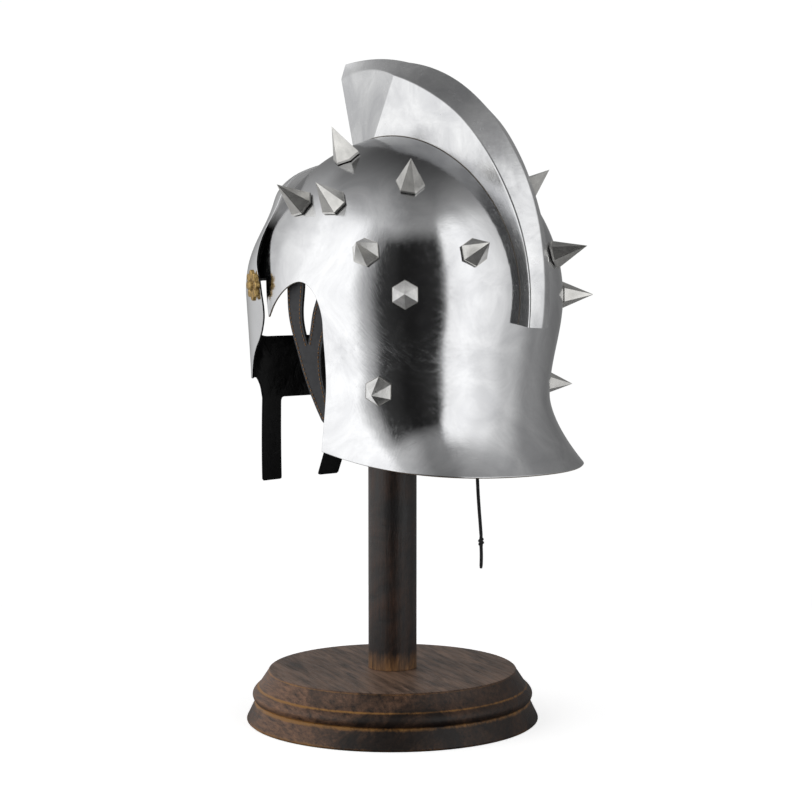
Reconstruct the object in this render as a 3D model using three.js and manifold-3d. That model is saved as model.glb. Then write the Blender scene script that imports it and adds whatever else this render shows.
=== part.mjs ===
// A gladiator helmet on its turned wooden stand, in millimetres, +Z up.
// The origin is the centre of the stand's foot. The helmet faces -Y, and the wearer's left is +X.
// The skull, face guard and crest are steel sheet, so they are hollow shells.

import * as THREE from 'three';
import { mergeVertices } from 'three/addons/utils/BufferGeometryUtils.js';
import Module from 'manifold-3d';

const wasm = await Module();
wasm.setup();

// Clearances
const SEAT = 0.3;                  // gap between two pieces that rest on each other

// Stand
const FOOT_RADIUS = 108.6;         // the foot's lowest and widest ring
const FOOT_RIM = 1.5;              // upright edge of that ring
const COVE_RADIUS = 102.2;         // groove between the foot's slope and the bead
const COVE_HEIGHT = 14.6;
const BEAD_RADIUS = 104.2;
const BEAD_TOP = 25;
const SHOULDER_RADIUS = 100;       // foot of the slope above the bead
const TABLE_RADIUS = 91;           // flat top of the base
const TABLE_LIP = 1.6;             // round edge of that flat top
const BASE_HEIGHT = 37.6;
const POST_RADIUS = 18;
const HEAD_RADIUS = 45;            // turned head on the post, inside the skull
const HEAD_SKIRT = 26;             // its straight side
const HEAD_ROUNDNESS = 62;         // radius of its round top
const HEAD_CHAMFER = 3;            // of its lower edge

// Skull
const SKULL_SETBACK = 16;          // skull axis behind the post axis
const SKULL_HALF_WIDTH = 113.5;
const SKULL_HALF_LENGTH = 112.5;
const SKULL_EQUATOR = 314;         // height of its widest ring
const DOME_HEIGHT = 118;
const DOME_FULLNESS = 1.95;        // exponent of the dome's profile; 2 is an ellipse
const SHEET = 1.6;                 // steel sheet of skull and face guard
const NECK_DROP = 72;              // narrowest ring below the widest
const NECK_HEIGHT = SKULL_EQUATOR - NECK_DROP;
const NECK_TUCK = 9.5;             // how far the wall comes in at the neck
const FLARE_DROP = 50;             // height of the neck guard's flare at the back
const RIM_BACK = NECK_HEIGHT - FLARE_DROP;
const RIM_RISE = 18.2;             // how much higher that edge would be at the sides
const RIM_CURVE = 1.4;             // exponent of its rise from the back to the sides
const FLARE = 27;                  // outward sweep of the neck guard at the back
const FLARE_CURVE = 1.6;           // exponent of the sweep
const FLARE_START = 30;            // plan angle from the back where the flare starts to fade
const FLARE_END = 92;              // and where it is gone

// Face opening of the skull, seen from the side
const EAR_BACK = 20;               // rear edge of the ear opening, behind the skull axis
const EAR_FOOT = 12.5;             // the same edge at the lower rim
const EAR_RISE = 10;               // top of the ear arch above the equator
const EAR_CROWN = SKULL_EQUATOR + EAR_RISE;
const EAR_ARCH = 28;               // height of the arch over the upright edge
const TEMPLE_TIP = 37;             // point in front of the ear, ahead of the axis
const TEMPLE_DROP = 25;            // that point below the top of the arch
const TEMPLE_CURVE = 1.7;          // exponent of the edge from the arch to the point
const BROW_SHARE = 0.635;          // skull edge over the forehead, as a share of the dome's height
const BROW_HEIGHT = SKULL_EQUATOR + BROW_SHARE * DOME_HEIGHT;
const CUT_MARGIN = 40;             // how far the cutting outlines pass beyond the sheet

// Crest
const CREST_SHEET = 1.5;
const CREST_HEIGHT = 49;           // ridge above the skull, over the crown
const CREST_HALF_WIDTH = 24;       // at the base, over the crown
const CREST_FLARE = 1.2;           // the flanks lean out by this much on each side

// Spikes
const SPIKE_RADIUS = 10.2;         // of the hexagon, across its corners
const SPIKE_LENGTH = 25;
const SPIKE_COLLAR = 1.4;          // low hexagonal collar under the point

// Face guard
const GUARD_LIFT = 4.2;            // face guard off the skull at the temples
const BROW_LIFT = 2;               // and above the eyes
const BROW_ROLL = 6.5;             // how much further the rounded brow stands out
const BROW_TURN_IN = 14;           // height over which the brow comes back to the skull
const GUARD_SHARE = 0.85;          // top of the brow plate, as a share of the dome's height
const GUARD_TOP = SKULL_EQUATOR + GUARD_SHARE * DOME_HEIGHT;
const BROW_ROLL_HEIGHT = GUARD_TOP - 1.45 * BROW_TURN_IN;
const GUARD_HALF_WIDTH = 90;       // of its lower part
const GUARD_FRONT = 101;           // front of the cheek band ahead of the skull axis
const CHIN_FRONT = 113;            // and of the bars' lower ends
const GUARD_SQUARENESS = 4;        // exponent of the lower part's plan
const EYE_RISE = 12;               // top of the eye opening above the equator
const EYE_TOP = SKULL_EQUATOR + EYE_RISE;
const EYE_OPENING = 42;            // its height
const EYE_BOTTOM = EYE_TOP - EYE_OPENING;
const EYE_HALF_WIDTH = 74;
const EYE_CORNER = 32;             // length of the opening's round corners
const BAND_WIDTH = 46;             // cheek band under the eyes
const BAND_BOTTOM = EYE_BOTTOM - BAND_WIDTH;
const BAND_CORNER = 16;            // how much higher the band's outer corners are
const BAR_TOP_OFFSET = 44.5;       // side bars: centre lines off the middle plane
const BAR_BOTTOM_OFFSET = 30.5;
const BAR_WIDTH = 24.5;
const BAR_TIP_WIDTH = 21;
const BAR_LENGTH = 64;
const BAR_BOTTOM = BAND_BOTTOM - BAR_LENGTH;
const SHEET_MARGIN = 4;            // the sheet before its outline is cut reaches this much further

// Rosettes
const ROSETTE_RADIUS = 11;
const ROSETTE_THICKNESS = 2.6;
const ROSETTE_BOSS = 3.6;
const ROSETTE_PETALS = 8;
const ROSETTE_ANGLE = -25;         // plan angle, from the side towards the face
const ROSETTE_RISE = 8;            // above the equator
const ROSETTE_SCALLOP = 0.1;       // share of the radius that the petals' notches take

// Liner
const LEATHER = 2;
const BAND_RISE = 13;              // lower edge of the leather headband above the equator
const BAND_DEPTH = 25;
const BAND_LOW = SKULL_EQUATOR + BAND_RISE;
const BAND_HIGH = BAND_LOW + BAND_DEPTH;
const STRAP_WIDTH = 18;
const STRAP_DROP = 99;             // the straps' lower end below the headband
const STRAP_TIP_INSET = 12;        // how far the straps' lower end hangs inside the skull's wall

// Lace: its route is a list chosen by hand
const LACE_DIAMETER = 2.4;
const LACE_ROUTE = [
  [37.1, 118.1, 326.2], [37.2, 118.2, 314], [37.1, 117.9, 302], [36.5, 116.4, 290],
  [35.8, 114.3, 278], [34.9, 111.9, 266], [34.3, 110.3, 254], [34.0, 109.5, 242],
  [33.9, 109.3, 230], [33.8, 109.3, 218], [33.6, 109.4, 206], [33.3, 109.5, 194],
  [32.8, 109.7, 182], [32.0, 110.0, 170], [30.9, 110.3, 158], [30.1, 110.5, 149],
];
const KNOT_RADIUS = 2.3;
const KNOT_HEIGHT = 8;
const LACE_TAIL = 15;              // of the lace below its knot

// Facets
const AROUND = 48;

const STEEL = new THREE.MeshStandardMaterial({ color: 0xc3c4c6, roughness: 0.22, metalness: 1 });
const STEEL_CREST = new THREE.MeshStandardMaterial({ color: 0xcbcccd, roughness: 0.2, metalness: 1 });
const STEEL_SPIKE = new THREE.MeshStandardMaterial({ color: 0xb9b6b0, roughness: 0.34, metalness: 1 });
const BRASS = new THREE.MeshStandardMaterial({ color: 0xb9924e, roughness: 0.42, metalness: 1 });
const LEATHER_FINISH = new THREE.MeshStandardMaterial({ color: 0x35363a, roughness: 0.68, metalness: 0 });
const LACE_FINISH = new THREE.MeshStandardMaterial({ color: 0x0e0e10, roughness: 0.8, metalness: 0 });
const WOOD = new THREE.MeshStandardMaterial({ color: 0x2e1a10, roughness: 0.42, metalness: 0 });

const helmet = new THREE.Group();

const radians = THREE.MathUtils.degToRad;
const mix = THREE.MathUtils.lerp;
const smooth = THREE.MathUtils.smoothstep;

function add(name, geometry, material) {
  const mesh = new THREE.Mesh(geometry, material);
  mesh.name = name;
  helmet.add(mesh);
  return mesh;
}

// Solids to and from the boolean library

function toSolid(geometry) {
  const bare = geometry.clone();
  bare.deleteAttribute('normal');
  bare.deleteAttribute('uv');
  const merged = mergeVertices(bare, 1e-4);
  return new wasm.Manifold(new wasm.Mesh({
    numProp: 3,
    vertProperties: new Float32Array(merged.attributes.position.array),
    triVerts: new Uint32Array(merged.index.array),
  }));
}

function toGeometry(solid) {
  const mesh = solid.getMesh();
  const geometry = new THREE.BufferGeometry();
  geometry.setAttribute('position', new THREE.BufferAttribute(mesh.vertProperties, 3));
  geometry.setIndex(new THREE.BufferAttribute(mesh.triVerts, 1));
  return geometry;
}

// A closed solid from a list of rings with the same number of points each.
// Rings run along the solid. The ends are closed by a fan, or the last ring joins the first.
function loft(rings, endsJoin = false) {
  const count = rings[0].length;
  const positions = rings.flat().flatMap((point) => [point.x, point.y, point.z]);
  const index = [];
  const steps = endsJoin ? rings.length : rings.length - 1;
  for (let row = 0; row < steps; row++) {
    const next = (row + 1) % rings.length;
    for (let i = 0; i < count; i++) {
      const j = (i + 1) % count;
      const a = row * count + i;
      const b = row * count + j;
      const c = next * count + j;
      const d = next * count + i;
      index.push(a, b, c, a, c, d);
    }
  }
  if (!endsJoin) {
    const last = (rings.length - 1) * count;
    for (let i = 1; i < count - 1; i++) {
      index.push(0, i + 1, i);
      index.push(last, last + i, last + i + 1);
    }
  }
  const geometry = new THREE.BufferGeometry();
  geometry.setAttribute('position', new THREE.Float32BufferAttribute(positions, 3));
  geometry.setIndex(index);
  return outward(geometry);
}

// Turns a closed geometry's faces outward where its volume comes out negative.
function outward(geometry) {
  const position = geometry.attributes.position;
  const index = geometry.index.array;
  const corners = [new THREE.Vector3(), new THREE.Vector3(), new THREE.Vector3()];
  let volume = 0;
  for (let i = 0; i < index.length; i += 3) {
    corners.forEach((corner, k) => corner.fromBufferAttribute(position, index[i + k]));
    volume += corners[0].dot(corners[1].clone().cross(corners[2]));
  }
  if (volume < 0) {
    for (let i = 0; i < index.length; i += 3) {
      [index[i + 1], index[i + 2]] = [index[i + 2], index[i + 1]];
    }
  }
  return geometry;
}

function lathe(profile, segments) {
  const points = profile.map(([radius, height]) => new THREE.Vector2(radius, height));
  const geometry = new THREE.LatheGeometry(points, segments);
  geometry.rotateX(Math.PI / 2);
  return geometry;
}

// An outline of the side view, given as distance behind the skull axis and height,
// extruded across the whole helmet.
function sidePrism(outline, reach) {
  const shape = new THREE.Shape(outline.map(([back, height]) => new THREE.Vector2(back, height)));
  const geometry = new THREE.ExtrudeGeometry(shape, { depth: 2 * reach, bevelEnabled: false });
  geometry.translate(0, 0, -reach);
  // the outline's first axis becomes +Y, its second +Z and the depth +X
  const [x, y, z] = [new THREE.Vector3(1, 0, 0), new THREE.Vector3(0, 1, 0), new THREE.Vector3(0, 0, 1)];
  geometry.applyMatrix4(new THREE.Matrix4().makeBasis(y, z, x));
  geometry.translate(0, SKULL_SETBACK, 0);
  return geometry;
}

// An outline of the front view, given as X and height, extruded from the skull axis forward.
function frontPrism(shape, reach) {
  const options = { depth: reach, bevelEnabled: false, curveSegments: 10 };
  const geometry = new THREE.ExtrudeGeometry(shape, options);
  geometry.rotateX(Math.PI / 2);
  geometry.translate(0, SKULL_SETBACK, 0);
  return geometry;
}

// Skull surface

// Share of the equator's radius at a height.
function skullShare(height) {
  if (height >= SKULL_EQUATOR) {
    const rise = Math.min(1, (height - SKULL_EQUATOR) / DOME_HEIGHT);
    return (1 - rise ** DOME_FULLNESS) ** (1 / DOME_FULLNESS);
  }
  const drop = Math.min(1, (SKULL_EQUATOR - height) / NECK_DROP);
  return 1 - (NECK_TUCK / SKULL_HALF_WIDTH) * Math.sin(drop * Math.PI / 2) ** 2;
}

// Plan angles run from the wearer's left, +X, and grow towards the back, +Y.
function angleFromBack(angle) {
  return Math.abs(THREE.MathUtils.euclideanModulo(angle - 90 + 180, 360) - 180);
}

function rimHeight(angle) {
  const side = Math.min(90, angleFromBack(angle));
  return RIM_BACK + RIM_RISE * (1 - Math.cos(radians(side))) ** RIM_CURVE;
}

function flareAt(angle, height) {
  if (height >= NECK_HEIGHT) return 0;
  const drop = (NECK_HEIGHT - height) / FLARE_DROP;
  return FLARE * drop ** FLARE_CURVE * (1 - smooth(angleFromBack(angle), FLARE_START, FLARE_END));
}

// A point on the skull's outer surface.
function skullPoint(angle, height) {
  const share = skullShare(height);
  const out = flareAt(angle, height);
  const c = Math.cos(radians(angle));
  const s = Math.sin(radians(angle));
  return new THREE.Vector3(
    (SKULL_HALF_WIDTH * share + out) * c,
    (SKULL_HALF_LENGTH * share + out) * s + SKULL_SETBACK,
    height,
  );
}

// A point on the skull's outer surface with its normal.
function domeFrame(angle, height) {
  const step = 0.5;
  const here = skullPoint(angle, height);
  const along = skullPoint(angle + step, height).sub(skullPoint(angle - step, height));
  const up = skullPoint(angle, height + step).sub(skullPoint(angle, height - step));
  return { point: here, normal: along.cross(up).normalize() };
}

// Heights of the skull's rings, from just under the crown to the rim.
function skullRings() {
  const domeRows = 11;
  const wallRows = 3;
  const flareRows = 5;
  const rings = [];
  for (let i = 1; i <= domeRows; i++) {
    rings.push(() => SKULL_EQUATOR + DOME_HEIGHT * Math.cos(radians(90 * i / domeRows)));
  }
  for (let i = 1; i <= wallRows; i++) {
    rings.push(() => mix(SKULL_EQUATOR, NECK_HEIGHT, i / wallRows));
  }
  for (let i = 1; i <= flareRows; i++) {
    rings.push((angle) => mix(NECK_HEIGHT, rimHeight(angle), i / flareRows));
  }
  return rings;
}

// One skin of the skull: the crown first, then the rings.
function skullSkin(inset) {
  const crown = new THREE.Vector3(0, SKULL_SETBACK, SKULL_EQUATOR + DOME_HEIGHT - inset);
  const rings = skullRings().map((heightAt) => {
    const ring = [];
    for (let i = 0; i < AROUND; i++) {
      const angle = 360 * i / AROUND;
      const frame = domeFrame(angle, heightAt(angle));
      ring.push(frame.point.addScaledVector(frame.normal, -inset));
    }
    return ring;
  });
  return { crown, rings };
}

function skullShell() {
  const outer = skullSkin(0);
  const inner = skullSkin(SHEET);
  return capped(outer.crown, [...outer.rings, ...inner.rings.reverse()], inner.crown);
}

// A closed solid of level rings between two poles.
function capped(first, rings, lastPole) {
  const positions = [first, ...rings.flat(), lastPole].flatMap((p) => [p.x, p.y, p.z]);
  const last = 1 + rings.length * AROUND;
  const index = [];
  for (let i = 0; i < AROUND; i++) {
    const j = (i + 1) % AROUND;
    index.push(0, 1 + i, 1 + j);
    for (let row = 0; row < rings.length - 1; row++) {
      const a = 1 + row * AROUND + i;
      const b = 1 + row * AROUND + j;
      index.push(a, a + AROUND, b + AROUND, a, b + AROUND, b);
    }
    index.push(last - AROUND + i, last, last - AROUND + j);
  }
  const geometry = new THREE.BufferGeometry();
  geometry.setAttribute('position', new THREE.Float32BufferAttribute(positions, 3));
  geometry.setIndex(index);
  return outward(geometry);
}

// The skull as one closed body, its outer skin moved inward by an inset.
function skullBody(inset) {
  const { crown, rings } = skullSkin(inset);
  const bottom = new THREE.Vector3(0, SKULL_SETBACK, NECK_HEIGHT);
  return capped(crown, rings, bottom);
}

// Front edge of the skull from the temple tip to the brow: how far ahead of the tip, as a share
// of the way to the front, and the share of the height from the tip to the brow.
const FOREHEAD_EDGE = [
  { ahead: 0.05, rise: 0.3 },
  { ahead: 0.19, rise: 0.53 },
  { ahead: 0.32, rise: 0.74 },
  { ahead: 0.56, rise: 0.93 },
];

// The face opening: up the rear edge, over the ear arch, down to the temple, up over the brow.
function faceOpening() {
  const spring = EAR_CROWN - EAR_ARCH;
  const temple = EAR_CROWN - TEMPLE_DROP;
  const below = RIM_BACK - CUT_MARGIN;
  const outline = [[EAR_FOOT, below], [EAR_FOOT, rimHeight(0)], [EAR_BACK, spring]];
  const archSteps = 6;
  for (let i = 1; i <= archSteps; i++) {
    const turn = Math.PI / 2 * i / archSteps;
    outline.push([EAR_BACK * Math.cos(turn), mix(spring, EAR_CROWN, Math.sin(turn))]);
  }
  for (let i = 1; i <= archSteps; i++) {
    const share = i / archSteps;
    outline.push([-TEMPLE_TIP * share, mix(EAR_CROWN, temple, share ** TEMPLE_CURVE)]);
  }
  for (const { ahead, rise } of FOREHEAD_EDGE) {
    outline.push([-mix(TEMPLE_TIP, SKULL_HALF_LENGTH, ahead), mix(temple, BROW_HEIGHT, rise)]);
  }
  outline.push([-SKULL_HALF_LENGTH * skullShare(BROW_HEIGHT), BROW_HEIGHT]);
  outline.push([-SKULL_HALF_LENGTH - CUT_MARGIN, BROW_HEIGHT]);
  outline.push([-SKULL_HALF_LENGTH - CUT_MARGIN, below]);
  return sidePrism(outline, SKULL_HALF_WIDTH + CUT_MARGIN);
}

function skull() {
  return toGeometry(toSolid(skullShell()).subtract(toSolid(faceOpening())));
}

// Crest

// Sections from the nape to the stem. Angles are elevations seen from the side, round the
// equator's centre, 0 at the back. Heights and widths are shares of the crest's own sizes.
const CREST_SECTIONS = [
  { base: -10, crease: -10, ridge: -10, ridgeHeight: 0.27, creaseHeight: 0.22, width: 0.42 },
  { base: 2, crease: 2, ridge: 2, ridgeHeight: 0.28, creaseHeight: 0.2, width: 0.42 },
  { base: 16, crease: 16, ridge: 16, ridgeHeight: 0.33, creaseHeight: 0.22, width: 0.47 },
  { base: 34, crease: 34, ridge: 34, ridgeHeight: 0.46, creaseHeight: 0.3, width: 0.6 },
  { base: 48, crease: 48, ridge: 48, ridgeHeight: 0.58, creaseHeight: 0.42, width: 0.72 },
  { base: 62, crease: 61, ridge: 61, ridgeHeight: 0.73, creaseHeight: 0.57, width: 0.85 },
  { base: 76, crease: 73, ridge: 73, ridgeHeight: 0.88, creaseHeight: 0.7, width: 0.95 },
  { base: 87, crease: 81, ridge: 82, ridgeHeight: 0.98, creaseHeight: 0.8, width: 1 },
  { base: 96, crease: 87, ridge: 90, ridgeHeight: 1.06, creaseHeight: 0.88, width: 1 },
  { base: 117, crease: 112, ridge: 110, ridgeHeight: 1.4, creaseHeight: 1.2, width: 0.05 },
];
const CREST_STEPS = 4;             // stations between two sections

// Reading between the sections, with rounded slopes. The stem's wedge stays straight.
function crestSection(position) {
  const row = Math.min(CREST_SECTIONS.length - 2, Math.floor(position));
  const share = position - row;
  const lastRound = CREST_SECTIONS.length - 2;
  const blend = (key) => {
    const at = (i) => CREST_SECTIONS[Math.max(0, Math.min(lastRound, i))][key];
    if (row === lastRound) return mix(CREST_SECTIONS[row][key], CREST_SECTIONS[row + 1][key], share);
    const [p0, p1, p2, p3] = [at(row - 1), at(row), at(row + 1), at(row + 2)];
    const slope1 = (p2 - p0) / 2;
    const slope2 = (p3 - p1) / 2;
    const s2 = share * share;
    const s3 = s2 * share;
    return (2 * s3 - 3 * s2 + 1) * p1 + (s3 - 2 * s2 + share) * slope1
      + (3 * s2 - 2 * s3) * p2 + (s3 - s2) * slope2;
  };
  return {
    base: blend('base'),
    crease: blend('crease'),
    ridge: blend('ridge'),
    ridgeHeight: CREST_HEIGHT * blend('ridgeHeight'),
    creaseHeight: CREST_HEIGHT * blend('creaseHeight'),
    width: CREST_HALF_WIDTH * blend('width'),
  };
}

// Where a ray from the equator's centre line, x beside the middle plane, meets the skull.
function skullReach(x, elevation) {
  const c = Math.cos(radians(elevation));
  const s = Math.sin(radians(elevation));
  let low = 0;
  let high = 2 * DOME_HEIGHT;
  for (let i = 0; i < 40; i++) {
    const middle = (low + high) / 2;
    const height = SKULL_EQUATOR + middle * s;
    const inside = height < SKULL_EQUATOR + DOME_HEIGHT
      && Math.hypot(x / SKULL_HALF_WIDTH, middle * c / SKULL_HALF_LENGTH) < skullShare(height);
    if (inside) low = middle;
    else high = middle;
  }
  return low;
}

function crestPoint(x, elevation, lift) {
  const reach = skullReach(x, elevation) + lift;
  return new THREE.Vector3(
    x,
    SKULL_SETBACK + reach * Math.cos(radians(elevation)),
    SKULL_EQUATOR + reach * Math.sin(radians(elevation)),
  );
}

// The crest's outer form, or with an inset the hollow inside it. Both reach down into the skull,
// which is cut away from them afterwards.
function crestBody(inset) {
  const rings = [];
  const last = (CREST_SECTIONS.length - 1) * CREST_STEPS;
  const baseLift = -CREST_SHEET - 2 * inset;
  const endShare = inset > 0 ? 0.2 : 0;
  for (let i = 0; i <= last; i++) {
    let position = i / CREST_STEPS;
    if (i === 0) position += endShare;
    if (i === last) position -= 1.5 * endShare;
    const section = crestSection(position);
    const base = Math.max(section.width - inset, 0.3);
    const crease = Math.max(section.width + CREST_FLARE - inset, 0.3);
    const ridgeLift = section.ridgeHeight - 1.3 * inset;
    const creaseLift = section.creaseHeight - 1.1 * inset;
    rings.push([
      crestPoint(-base, section.base, baseLift),
      crestPoint(-crease, section.crease, creaseLift),
      crestPoint(0, section.ridge, ridgeLift),
      crestPoint(crease, section.crease, creaseLift),
      crestPoint(base, section.base, baseLift),
    ]);
  }
  return loft(rings);
}

function crest() {
  const hollow = toSolid(crestBody(0)).subtract(toSolid(crestBody(CREST_SHEET)));
  return toGeometry(hollow.subtract(toSolid(skullBody(-SEAT))));
}

// Spikes

// One side's spikes in level rows: the row's rise over the equator, as a share of the dome's
// height or, below the equator, of the drop to the neck, and the plan angles in it.
const SPIKE_ROWS = [
  { rise: 0.83, angles: [-3] },
  { rise: 0.65, angles: [43] },
  { rise: 0.54, angles: [-10, 9] },
  { rise: 0.25, angles: [27, 66] },
  { rise: 0.01, angles: [41] },
  { rise: -0.89, angles: [31] },
];

function spike() {
  const collar = new THREE.CylinderGeometry(SPIKE_RADIUS, SPIKE_RADIUS, SPIKE_COLLAR, 6);
  collar.translate(0, SPIKE_COLLAR / 2, 0);
  const point = new THREE.ConeGeometry(SPIKE_RADIUS * 0.97, SPIKE_LENGTH - SPIKE_COLLAR, 6);
  point.translate(0, (SPIKE_LENGTH + SPIKE_COLLAR) / 2 - 0.01, 0);
  return toGeometry(toSolid(collar).add(toSolid(point)));
}

// How far the skull stands proud of the flat under a spike's corners, where its wall is hollow.
function skullProud(point, normal) {
  const level = new THREE.Vector3(-normal.y, normal.x, 0).normalize();
  const up = normal.clone().cross(level);
  let proud = 0;
  for (let i = 0; i < 12; i++) {
    const turn = Math.PI * i / 6;
    const corner = point.clone();
    corner.addScaledVector(level, SPIKE_RADIUS * Math.cos(turn));
    corner.addScaledVector(up, SPIKE_RADIUS * Math.sin(turn));
    const angle = THREE.MathUtils.radToDeg(Math.atan2(corner.y - SKULL_SETBACK, corner.x));
    proud = Math.max(proud, skullPoint(angle, corner.z).sub(corner).dot(normal));
  }
  return proud;
}

// Sets a piece that stands on y = 0, along +Y, on the surface at a point with its normal.
function seatOn(mesh, point, normal, clearance) {
  mesh.position.copy(point).addScaledVector(normal, clearance);
  mesh.quaternion.setFromUnitVectors(new THREE.Vector3(0, 1, 0), normal);
}

// Face guard

// Radius of the guard's inner skin round the skull axis, at a plan angle and height.
function guardRadius(angle, height) {
  const c = Math.abs(Math.cos(radians(angle)));
  const s = Math.abs(Math.sin(radians(angle)));
  const share = skullShare(Math.max(height, SKULL_EQUATOR));
  const roll = BROW_ROLL * Math.exp(-(((height - BROW_ROLL_HEIGHT) / BROW_TURN_IN) ** 2));
  const proud = mix(GUARD_LIFT, BROW_LIFT, smooth(height, EYE_TOP + 10, mix(EYE_TOP, GUARD_TOP, 0.5)));
  const lift = SEAT + (proud + roll) * (1 - smooth(height, GUARD_TOP - BROW_TURN_IN, GUARD_TOP));
  const upper = 1 / Math.hypot(c / (SKULL_HALF_WIDTH * share), s / (SKULL_HALF_LENGTH * share)) + lift;
  const n = GUARD_SQUARENESS;
  const front = mix(CHIN_FRONT, GUARD_FRONT, Math.min(1, (height - BAR_BOTTOM) / BAR_LENGTH));
  const lower = ((c / GUARD_HALF_WIDTH) ** n + (s / front) ** n) ** (-1 / n);
  return mix(lower, upper, smooth(height, BAND_BOTTOM, EYE_TOP + 10));
}

function guardPoint(angle, height, offset) {
  const radius = guardRadius(angle, height) + offset;
  return new THREE.Vector3(
    radius * Math.cos(radians(angle)),
    SKULL_SETBACK + radius * Math.sin(radians(angle)),
    height,
  );
}

// The guard's whole curved sheet before its outline is cut.
function guardSheet() {
  const columns = 34;
  const heights = [BAR_BOTTOM - SHEET_MARGIN, BAR_BOTTOM + BAR_LENGTH / 2, BAND_BOTTOM - SHEET_MARGIN];
  heights.push(BAND_BOTTOM + BAND_WIDTH / 2, EYE_BOTTOM, EYE_BOTTOM + EYE_OPENING / 2, EYE_TOP);
  const browRows = 8;
  for (let i = 1; i <= browRows; i++) {
    heights.push(mix(EYE_TOP, GUARD_TOP + SHEET_MARGIN / 2, (i / browRows) ** 0.8));
  }
  const rings = [];
  for (let i = 0; i <= columns; i++) {
    const angle = mix(-4, -176, i / columns);
    const outer = heights.map((height) => guardPoint(angle, height, SHEET));
    const inner = heights.map((height) => guardPoint(angle, height, 0)).reverse();
    rings.push([...outer, ...inner]);
  }
  return loft(rings);
}

// The guard's rear edge with the lobe that carries the rosette, in three stretches from the top:
// brow, eye opening and cheek band. Ahead is a share of the skull's half length, and down is the
// share of the stretch's height.
const GUARD_EDGE = [
  {
    from: GUARD_TOP,
    to: EYE_TOP,
    points: [[0.515, 0], [0.41, 0.17], [0.39, 0.32], [0.49, 0.58], [0.46, 0.81]],
  },
  {
    from: EYE_TOP,
    to: EYE_BOTTOM,
    points: [[0.38, 0], [0.373, 0.35], [0.395, 0.6], [0.445, 0.8]],
  },
  {
    from: EYE_BOTTOM,
    to: BAND_BOTTOM,
    points: [[0.515, 0], [0.595, 0.16], [0.667, 0.36], [0.72, 0.64], [0.747, 0.96]],
  },
];

function guardSideOutline() {
  const front = -SKULL_HALF_LENGTH - CUT_MARGIN;
  const edge = GUARD_EDGE.flatMap(({ from, to, points }) => (
    points.map(([ahead, down]) => [-ahead * SKULL_HALF_LENGTH, mix(from, to, down)])
  ));
  const barBack = edge.at(-1)[0];
  return [[front, GUARD_TOP], ...edge, [barBack, BAR_BOTTOM], [front, BAR_BOTTOM]];
}

// Front view of the guard: brow and band, two side bars, and the eye opening.
function guardFrontOutline() {
  const wide = SKULL_HALF_WIDTH + CUT_MARGIN;
  const high = GUARD_TOP + CUT_MARGIN;
  const corner = BAND_BOTTOM + BAND_CORNER;
  const half = BAR_WIDTH / 2;
  const tip = BAR_TIP_WIDTH / 2;
  const right = [
    [BAR_TOP_OFFSET - half, BAND_BOTTOM],
    [BAR_BOTTOM_OFFSET - tip, BAR_BOTTOM],
    [BAR_BOTTOM_OFFSET + tip, BAR_BOTTOM],
    [BAR_TOP_OFFSET + half, mix(BAND_BOTTOM, corner, 0.6)],
    [BAR_TOP_OFFSET + half + BAND_CORNER / 3, corner],
    [wide, corner],
    [wide, high],
  ];
  const left = right.map(([x, height]) => [-x, height]).reverse();
  const shape = new THREE.Shape([...right, ...left].map(([x, height]) => new THREE.Vector2(x, height)));
  const middle = (EYE_TOP + EYE_BOTTOM) / 2;
  const start = EYE_HALF_WIDTH - EYE_CORNER;
  const halfHeight = (EYE_TOP - EYE_BOTTOM) / 2;
  const quarter = Math.PI / 2;
  const hole = new THREE.Path();
  hole.moveTo(-start, EYE_TOP);
  hole.absellipse(-start, middle, EYE_CORNER, halfHeight, quarter, 3 * quarter, false);
  hole.absellipse(start, middle, EYE_CORNER, halfHeight, -quarter, quarter, false);
  hole.closePath();
  shape.holes.push(hole);
  return shape;
}

function faceGuard() {
  const side = toSolid(sidePrism(guardSideOutline(), SKULL_HALF_WIDTH + CUT_MARGIN));
  const front = toSolid(frontPrism(guardFrontOutline(), SKULL_HALF_LENGTH + CUT_MARGIN));
  return toGeometry(toSolid(guardSheet()).intersect(side).intersect(front));
}

function rosette() {
  const shape = new THREE.Shape();
  const steps = ROSETTE_PETALS * 4;
  for (let i = 0; i < steps; i++) {
    const turn = 2 * Math.PI * i / steps;
    const radius = ROSETTE_RADIUS * (1 - ROSETTE_SCALLOP * (1 - Math.cos(ROSETTE_PETALS * turn)));
    if (i === 0) shape.moveTo(radius, 0);
    else shape.lineTo(radius * Math.cos(turn), radius * Math.sin(turn));
  }
  shape.closePath();
  const disc = new THREE.ExtrudeGeometry(shape, { depth: ROSETTE_THICKNESS, bevelEnabled: false });
  disc.rotateX(-Math.PI / 2);
  const boss = new THREE.SphereGeometry(ROSETTE_BOSS, 12, 8);
  boss.scale(1, 0.7, 1);
  boss.translate(0, ROSETTE_THICKNESS, 0);
  return toGeometry(toSolid(disc).add(toSolid(boss)));
}

// Liner

// A point inside the skull's wall, inset from its inner skin.
function linerPoint(angle, height, inset) {
  const frame = domeFrame(angle, height);
  return frame.point.addScaledVector(frame.normal, -SHEET - inset);
}

function headband() {
  const rings = [];
  const rows = 2;
  for (let i = 0; i < AROUND; i++) {
    const angle = 360 * i / AROUND;
    const outer = [];
    const inner = [];
    for (let row = 0; row <= rows; row++) {
      const height = mix(BAND_LOW, BAND_HIGH, row / rows);
      outer.push(linerPoint(angle, height, 2 * SEAT));
      inner.unshift(linerPoint(angle, height, 2 * SEAT + LEATHER));
    }
    rings.push([...outer, ...inner]);
  }
  return loft(rings, true);
}

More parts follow.
